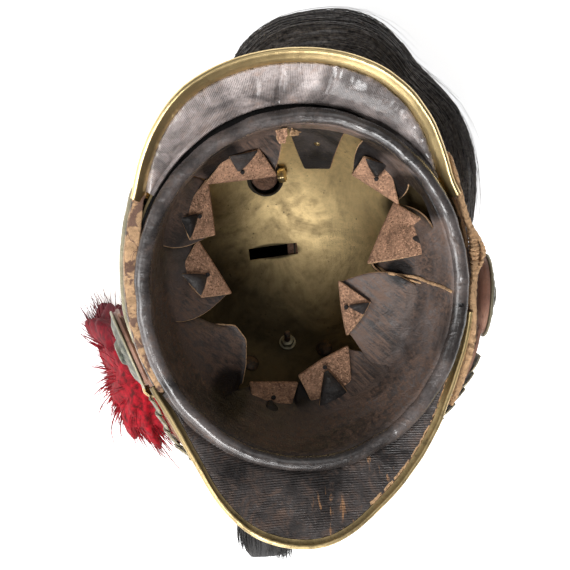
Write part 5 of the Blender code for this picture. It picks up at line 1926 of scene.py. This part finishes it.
class HELMET_OT_plume(bpy.types.Operator):
    """Makes the red side plume of many barbs, and its socket."""

    bl_idname = "helmet.plume"
    bl_label = "Side plume"

    def execute(self, context):
        brass = trim_brass("socket_brass", dull=0.45, shine=0.28)
        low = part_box("plume_socket")[0].z
        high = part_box("plume_socket")[1].z
        profile = [
            (0.005, low), (0.0062, low), (0.0066, low + 0.0012), (0.0062, low + 0.0026),
            (0.006, high - 0.004), (0.0065, high - 0.002), (0.0062, high), (0.005, high),
            (0.005, low),
        ]
        tube = turn_profile(profile, 40)
        bmesh.ops.translate(tube, vec=(SOCKET_CENTRE.x, SOCKET_CENTRE.y, 0), verts=tube.verts)
        piece("socket_tube", tube, [brass], ["plume_socket"])
        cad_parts["plume_stem"].data.materials.clear()
        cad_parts["plume_stem"].data.materials.append(old_wood())
        red = feather()
        out = Vector((SOCKET_CENTRE.x, SOCKET_CENTRE.y, 0)).normalized()
        core = []
        for i in range(40):
            height, outward, forward, width, length = catmull(PLUME_ROWS, i / 39)
            z = PLUME_HEIGHT * max(height, 0.0)
            x = SOCKET_CENTRE.x + out.x * outward * PLUME_HALF_WIDTH
            y = SOCKET_CENTRE.y + forward * PLUME_HALF_LENGTH
            ring = []
            for k in range(72):
                turn = math.tau * k / 72
                spot = (math.cos(turn), math.sin(turn), height * 6)
                lobe = 0.8 + 0.07 * math.cos(10 * turn + height * 5) + 0.1 * wobble(spot, 2.5)
                across = math.cos(turn) * PLUME_HALF_WIDTH * width * lobe
                along = math.sin(turn) * PLUME_HALF_LENGTH * length * lobe
                ring.append(self.lean(Vector((x + across, y + along, z))))
            core.append(ring)
        piece("plume_body", extrude_through(core), [red], ["plume"], sharp_deg=0)
        rng = random.Random(11)
        feathers = []
        for _ in range(85):
            bend = Vector((rng.uniform(-1, 1), rng.uniform(-1.0, 0.5), 0)) * 0.006
            turn = rng.random() * math.tau
            start = 1 - rng.random() ** 0.8 * 0.93
            feathers.append((turn, start, bend, rng.uniform(0.84, 1.1)))
        paths = []
        for number in range(sizes().plume_barbs):
            turn, start, bend, spread = feathers[number % len(feathers)]
            turn += rng.gauss(0.0, 0.26)
            start = min(max(start + rng.gauss(0.0, 0.08), 0.04), 0.99)
            height, outward, forward, width, length = self.row_at(start)
            loose = 0.55 if rng.random() < 0.05 else 1.0
            spread *= rng.uniform(0.72, 1.06) * (1.22 if loose < 1 else 1.0)
            x = SOCKET_CENTRE.x + out.x * outward * PLUME_HALF_WIDTH
            y = SOCKET_CENTRE.y + forward * PLUME_HALF_LENGTH
            root = Vector((x, y, PLUME_HEIGHT * start + 0.002))
            across = math.cos(turn) * PLUME_HALF_WIDTH * width
            edge = Vector((across, math.sin(turn) * PLUME_HALF_LENGTH * length, 0)) * spread
            drop = rng.uniform(0.004, 0.02)
            path = []
            for k in range(11):
                share = k / 10
                curve = bend * (math.sin(math.pi * share) * 0.6 + share**2 * 0.7)
                point = root + edge * (0.3 + 0.7 * share) + curve
                point.z -= drop * share**1.5
                shiver = Vector((wobble(point, 160.0, 1.0), wobble(point, 160.0, 4.0), 0))
                point += shiver * 0.0009 * share
                point.z = max(point.z, 0.0006)
                path.append(self.lean(point, loose))
            paths.append((path, rng.uniform(0.5, 1.1)))
        strand_piece("plume_barbs", paths, 0.00042, red)
        return {"FINISHED"}

    def lean(self, point, tight=1.0):
        """Turns the plume a little, and draws its outer side in where the real one is thin."""
        off = point - Vector((SOCKET_CENTRE.x, SOCKET_CENTRE.y, 0))
        low = max(1 - point.z / PLUME_HEIGHT, 0.0) ** 0.6
        if off.x < 0:
            off.x *= 1 - tight * (1 - look_up(THIN_ROWS, off.y)[0])
        front = max(-off.y - 0.02, 0.0)
        aside = -0.2 * off.y * low + 0.16 * front + 0.55 * max(front - 0.01, 0.0)
        back = off.y * 0.98 - 0.01 * low - 0.34 * front
        return Vector((SOCKET_CENTRE.x + off.x + aside, SOCKET_CENTRE.y + back, point.z))

    def row_at(self, height):
        for low, high in zip(PLUME_ROWS, PLUME_ROWS[1:]):
            if height >= high[0]:
                share = (low[0] - height) / (low[0] - high[0])
                return [a * (1 - share) + b * share for a, b in zip(low, high)]
        return PLUME_ROWS[-1]


CREST_FRONT = 0.126
CUP_LENGTH = 0.0135
CUP_Z = 0.017
TUFT_LENGTH = 0.073
TUFT_HALF_WIDTH = 0.019
TUFT_HALF_HEIGHT = 0.0115
TUFT_ROWS = (
    # shares: along, aside, half width, half height and rise
    (0.0, 0.0, 0.42, 0.66, 1.48),
    (0.15, -0.05, 0.7, 0.92, 1.2),
    (0.42, -0.16, 0.92, 1.04, 1.04),
    (0.7, -0.26, 1.0, 0.96, 0.94),
    (0.9, -0.32, 0.9, 0.76, 0.74),
    (1.0, -0.36, 0.62, 0.42, 0.42),
)


class HELMET_OT_tuft(bpy.types.Operator):
    """Makes the small hair tuft and the cup that holds it at the crest's front."""

    bl_idname = "helmet.tuft"
    bl_label = "Front tuft"

    def execute(self, context):
        start = -CREST_FRONT - 0.0003
        profile = [
            (0.0, 0.0), (0.0062, 0.0), (0.0068, 0.001), (0.006, 0.003), (0.0072, 0.0048),
            (0.0074, 0.006), (0.006, 0.0074), (0.0066, 0.0095), (0.0088, 0.0128),
            (0.009, CUP_LENGTH), (0.008, CUP_LENGTH), (0.0, CUP_LENGTH - 0.002),
        ]
        cup = place(turn_profile(profile, 40), (0, start, CUP_Z), (0, -1, 0))
        piece("tuft_holder", cup, [trim_brass("cup_brass", dull=0.4, shine=0.25)], ["tuft_cup"])
        hair = horsehair("tuft_hair", (0.02, 0.016, 0.013), 0.6)
        core = []
        for i in range(28):
            along, aside, width, height, rise = catmull(TUFT_ROWS, i / 27)
            y = start - CUP_LENGTH + 0.001 - (TUFT_LENGTH - 0.004) * along
            centre = Vector((aside * TUFT_HALF_WIDTH, y, rise * TUFT_HALF_HEIGHT))
            ring = []
            for k in range(40):
                turn = math.tau * k / 40
                lobe = 0.88 + 0.1 * wobble((math.cos(turn), math.sin(turn), 0.3), 3.0, 2.0)
                across = math.cos(turn) * TUFT_HALF_WIDTH * width * lobe
                point = centre + Vector((across, 0, math.sin(turn) * TUFT_HALF_HEIGHT * height * lobe))
                point.z = max(point.z, 0.0)
                ring.append(point)
            core.append(ring)
        piece("tuft_body", extrude_through(core), [hair], ["tuft"], sharp_deg=0)
        rng = random.Random(23)
        paths = []
        for _ in range(sizes().tuft_hairs):
            turn, depth = rng.random() * math.tau, rng.uniform(0.75, 1.06)
            reach = rng.uniform(0.74, 0.88) + 0.15 * (0.5 + 0.5 * math.cos(turn)) * rng.random() ** 0.4
            stray = rng.uniform(-1, 1) * 0.0035
            path = []
            for k in range(11):
                share = k / 10 * reach
                along, aside, width, height, rise = catmull(TUFT_ROWS, share)
                if share > 0.9:
                    width, height = max(width, 0.8), max(height, 0.62)
                y = start - CUP_LENGTH - TUFT_LENGTH * share
                point = Vector((aside * TUFT_HALF_WIDTH, y, rise * TUFT_HALF_HEIGHT))
                point.x += math.cos(turn) * TUFT_HALF_WIDTH * width * depth + stray * share**2
                point.z += math.sin(turn) * TUFT_HALF_HEIGHT * height * depth
                point.z = max(point.z, 0.0005)
                path.append(point)
            paths.append((path, rng.uniform(0.7, 1.3)))
        strand_piece("tuft_hairs", paths, 0.00034, hair)
        return {"FINISHED"}


MANE_HALF_WIDTH = 0.033
MANE_HALF_HEIGHT = 0.018
MANE_ROUTE = (
    # place on the floor in metres, then shares: half width, half height and rise
    (0.0, 0.088, 0.29, 0.52, 1.03),
    (-0.001, 0.1, 0.45, 0.72, 0.9),
    (0.007, 0.113, 0.67, 0.86, 0.92),
    (0.024, 0.121, 0.82, 0.95, 0.97),
    (0.044, 0.1235, 0.85, 1.0, 1.0),
    (0.064, 0.1205, 0.85, 1.0, 1.0),
    (0.077, 0.1105, 0.83, 1.0, 1.0),
    (0.086, 0.0985, 0.8, 1.0, 1.0),
    (0.097, 0.085, 0.83, 1.0, 1.0),
    (0.108, 0.069, 0.89, 1.0, 1.0),
    (0.114, 0.048, 0.9, 0.97, 0.97),
    (0.115, 0.024, 0.87, 0.9, 0.9),
    (0.1115, -0.001, 0.77, 0.78, 0.78),
    (0.104, -0.024, 0.6, 0.6, 0.6),
    (0.094, -0.042, 0.3, 0.34, 0.34),
)


class HELMET_OT_mane(bpy.types.Operator):
    """Makes the long horsehair mane that lies round the back and the right."""

    bl_idname = "helmet.mane"
    bl_label = "Mane"

    def execute(self, context):
        low, high = CREST_ROWS[12], CREST_ROWS[13]
        contour = [Vector((0, row[1] * SKULL_REAR, row[2] * CREST_HEIGHT)) for row in (low, high)]
        along = (contour[1] - contour[0]).normalized()
        out = Vector((0, along.z, -along.y))
        seat = (contour[0] + contour[1]) / 2 + out * 0.0003
        profile = [
            (0.0, 0.0), (0.0094, 0.0), (0.0102, 0.0014), (0.0096, 0.0028), (0.0108, 0.0036),
            (0.0098, 0.0054), (0.01, 0.007), (0.0, 0.007),
        ]
        clasp = place(turn_profile(profile, 40), seat, out)
        brass = trim_brass("clasp_brass", dull=0.4, shine=0.25)
        piece("mane_holder", clasp, [brass], ["mane_clasp"])
        self.root = seat + out * 0.0073
        self.out = out
        hair = horsehair()
        core = []
        count = 110
        for i in range(count + 1):
            core.append([self.place_at(i / count, math.tau * k / 64, 0.93, combed=True) for k in range(64)])
        piece("mane_body", extrude_through(core), [hair], ["mane"], sharp_deg=0)
        rng = random.Random(5)
        paths = []
        for number in range(sizes().mane_hairs):
            turn = rng.random() * math.tau
            first = rng.uniform(0.0, 0.62)
            last = min(first + rng.uniform(0.25, 0.5), 1.0)
            stray = number % 9 == 0
            depth = rng.uniform(0.9, 1.02)
            drift = rng.uniform(-0.5, 0.5)
            fly = rng.uniform(0.05, 0.34)
            path = []
            for k in range(13):
                share = first + (last - first) * k / 12
                lift = depth + (fly * (k / 12) ** 2 if stray else 0.0)
                path.append(self.place_at(share, turn + drift * k / 12, lift))
            paths.append((path, rng.uniform(0.6, 1.2) * (0.4 if stray else 1.0)))
        strand_piece("mane_hairs", paths, 0.00036, hair)
        return {"FINISHED"}

    def place_at(self, share, turn, depth, combed=False):
        """A point on the mane's surface, at a share of its length and an angle round it."""
        x, y, width, height, rise = catmull(MANE_ROUTE, share)
        after = catmull(MANE_ROUTE, min(share + 0.01, 1.0))
        before = catmull(MANE_ROUTE, max(share - 0.01, 0.0))
        heading = Vector((after[0] - before[0], after[1] - before[1], 0)).normalized()
        across = Vector((heading.y, -heading.x, 0))
        spot = (math.cos(turn) * 2, math.sin(turn) * 2, share * 5)
        lock = 1.0 + 0.035 * math.cos(7 * turn + share * 9) + 0.05 * wobble(spot, 1.4)
        if combed:
            lock *= 1.0 + 0.02 * math.cos(31 * turn + 4 * math.sin(share * 6))
        reach = depth * lock
        point = Vector((x, y, rise * MANE_HALF_HEIGHT))
        point += across * math.cos(turn) * MANE_HALF_WIDTH * width * reach
        point.z = max(point.z + math.sin(turn) * MANE_HALF_HEIGHT * height * reach, 0.0004)
        near = max(0.0, 1 - share / 0.1)
        if near > 0:
            side = Vector((1, 0, 0))
            other = self.out.cross(side)
            root = self.root + (side * math.cos(turn) - other * math.sin(turn)) * 0.0095 * depth
            point = point.lerp(root, near**1.5)
        return point


# Stage


class HELMET_OT_stage(bpy.types.Operator):
    """Sets the pale floor, the soft lights and the camera."""

    bl_idname = "helmet.stage"
    bl_label = "Floor, lights and camera"

    def execute(self, context):
        scene = context.scene
        scene.view_settings.view_transform = "Standard"
        bm = bmesh.new()
        bmesh.ops.create_grid(bm, x_segments=2, y_segments=2, size=6.0)
        mesh = bpy.data.meshes.new("floor")
        bm.to_mesh(mesh)
        bm.free()
        floor = bpy.data.objects.new("floor", mesh)
        floor.location.z = -0.0003
        scene.collection.objects.link(floor)
        paper = Finish("white_paper", 0.9)
        paper.set(Base_Color=(0.9, 0.9, 0.9), Emission_Color=(1.0, 1.0, 1.0), Emission_Strength=0.8)
        mesh.materials.append(paper.material)
        world = bpy.data.worlds.new("soft_sky")
        world.use_nodes = True
        world.node_tree.nodes["Background"].inputs["Color"].default_value = (0.95, 0.97, 1.0, 1.0)
        world.node_tree.nodes["Background"].inputs["Strength"].default_value = 0.12
        scene.world = world
        self.light("key", (-0.55, -1.05, 1.9), side=0.9, power=38.0)
        self.light("front", (-0.5, -2.1, 0.95), side=1.5, power=30.0)
        self.light("left", (-1.9, -0.35, 1.35), side=1.3, power=34.0)
        self.light("fill", (0.5, 1.2, 2.2), side=1.6, power=8.0)
        self.camera(scene)
        return {"FINISHED"}

    def light(self, name, spot, side, power):
        lamp = bpy.data.lights.new(name, "AREA")
        lamp.shape = "DISK"
        lamp.size = side
        lamp.energy = power
        made = bpy.data.objects.new(name, lamp)
        made.location = spot
        aim = Vector((0, 0, RIM_Z - 0.05)) - Vector(spot)
        made.rotation_euler = aim.to_track_quat("-Z", "Y").to_euler()
        bpy.context.scene.collection.objects.link(made)

    def camera(self, scene):
        lens = bpy.data.cameras.new("camera")
        lens.sensor_width = 36.0
        lens.lens = PIXELS_PER_METRE * EYE_DISTANCE / PICTURE_SIDE * lens.sensor_width
        lens.shift_x = -(MOUTH_PIXEL[0] / PICTURE_SIDE - 0.5)
        lens.shift_y = MOUTH_PIXEL[1] / PICTURE_SIDE - 0.5
        lens.clip_end = 50.0
        eye = bpy.data.objects.new("camera", lens)
        towards = towards_eye().normalized()
        right = Vector((0, 1, 0)).cross(towards).normalized()
        up = towards.cross(right)
        roll = math.radians(EYE_ROLL_DEG)
        side = right * math.cos(roll) - up * math.sin(roll)
        head = up * math.cos(roll) + right * math.sin(roll)
        turned = Matrix((side, head, towards)).transposed().to_4x4()
        eye.matrix_world = Matrix.Translation(Vector((0, 0, RIM_Z)) + towards * EYE_DISTANCE) @ turned
        scene.collection.objects.link(eye)
        scene.camera = eye


OPERATORS = (
    HELMET_OT_stage,
    HELMET_OT_skull,
    HELMET_OT_crest,
    HELMET_OT_crown_fixings,
    HELMET_OT_hide_band,
    HELMET_OT_guards,
    HELMET_OT_padded_roll,
    HELMET_OT_sweatband,
    HELMET_OT_chin_strap,
    HELMET_OT_plume,
    HELMET_OT_tuft,
    HELMET_OT_mane,
)


class HELMET_PT_builder(bpy.types.Panel):
    """Lists the helmet's pieces in the sidebar."""

    bl_idname = "HELMET_PT_builder"
    bl_label = "Crested Helmet"
    bl_space_type = "VIEW_3D"
    bl_region_type = "UI"
    bl_category = "Helmet"

    def draw(self, context):
        for group in (context.scene.helmet_sizes, context.scene.helmet_colours):
            for name in group.__annotations__:
                self.layout.prop(group, name)
        for operator in OPERATORS:
            self.layout.operator(operator.bl_idname)


CLASSES = (HelmetSizes, HelmetColours, *OPERATORS, HELMET_PT_builder)


def register():
    for made in CLASSES:
        bpy.utils.register_class(made)
    bpy.types.Scene.helmet_sizes = PointerProperty(type=HelmetSizes)
    bpy.types.Scene.helmet_colours = PointerProperty(type=HelmetColours)


def unregister():
    del bpy.types.Scene.helmet_colours
    del bpy.types.Scene.helmet_sizes
    for made in reversed(CLASSES):
        bpy.utils.unregister_class(made)


def main():
    register()
    for operator in OPERATORS:
        group, name = operator.bl_idname.split(".")
        getattr(getattr(bpy.ops, group), name)()


if __name__ == "__main__":
    main()
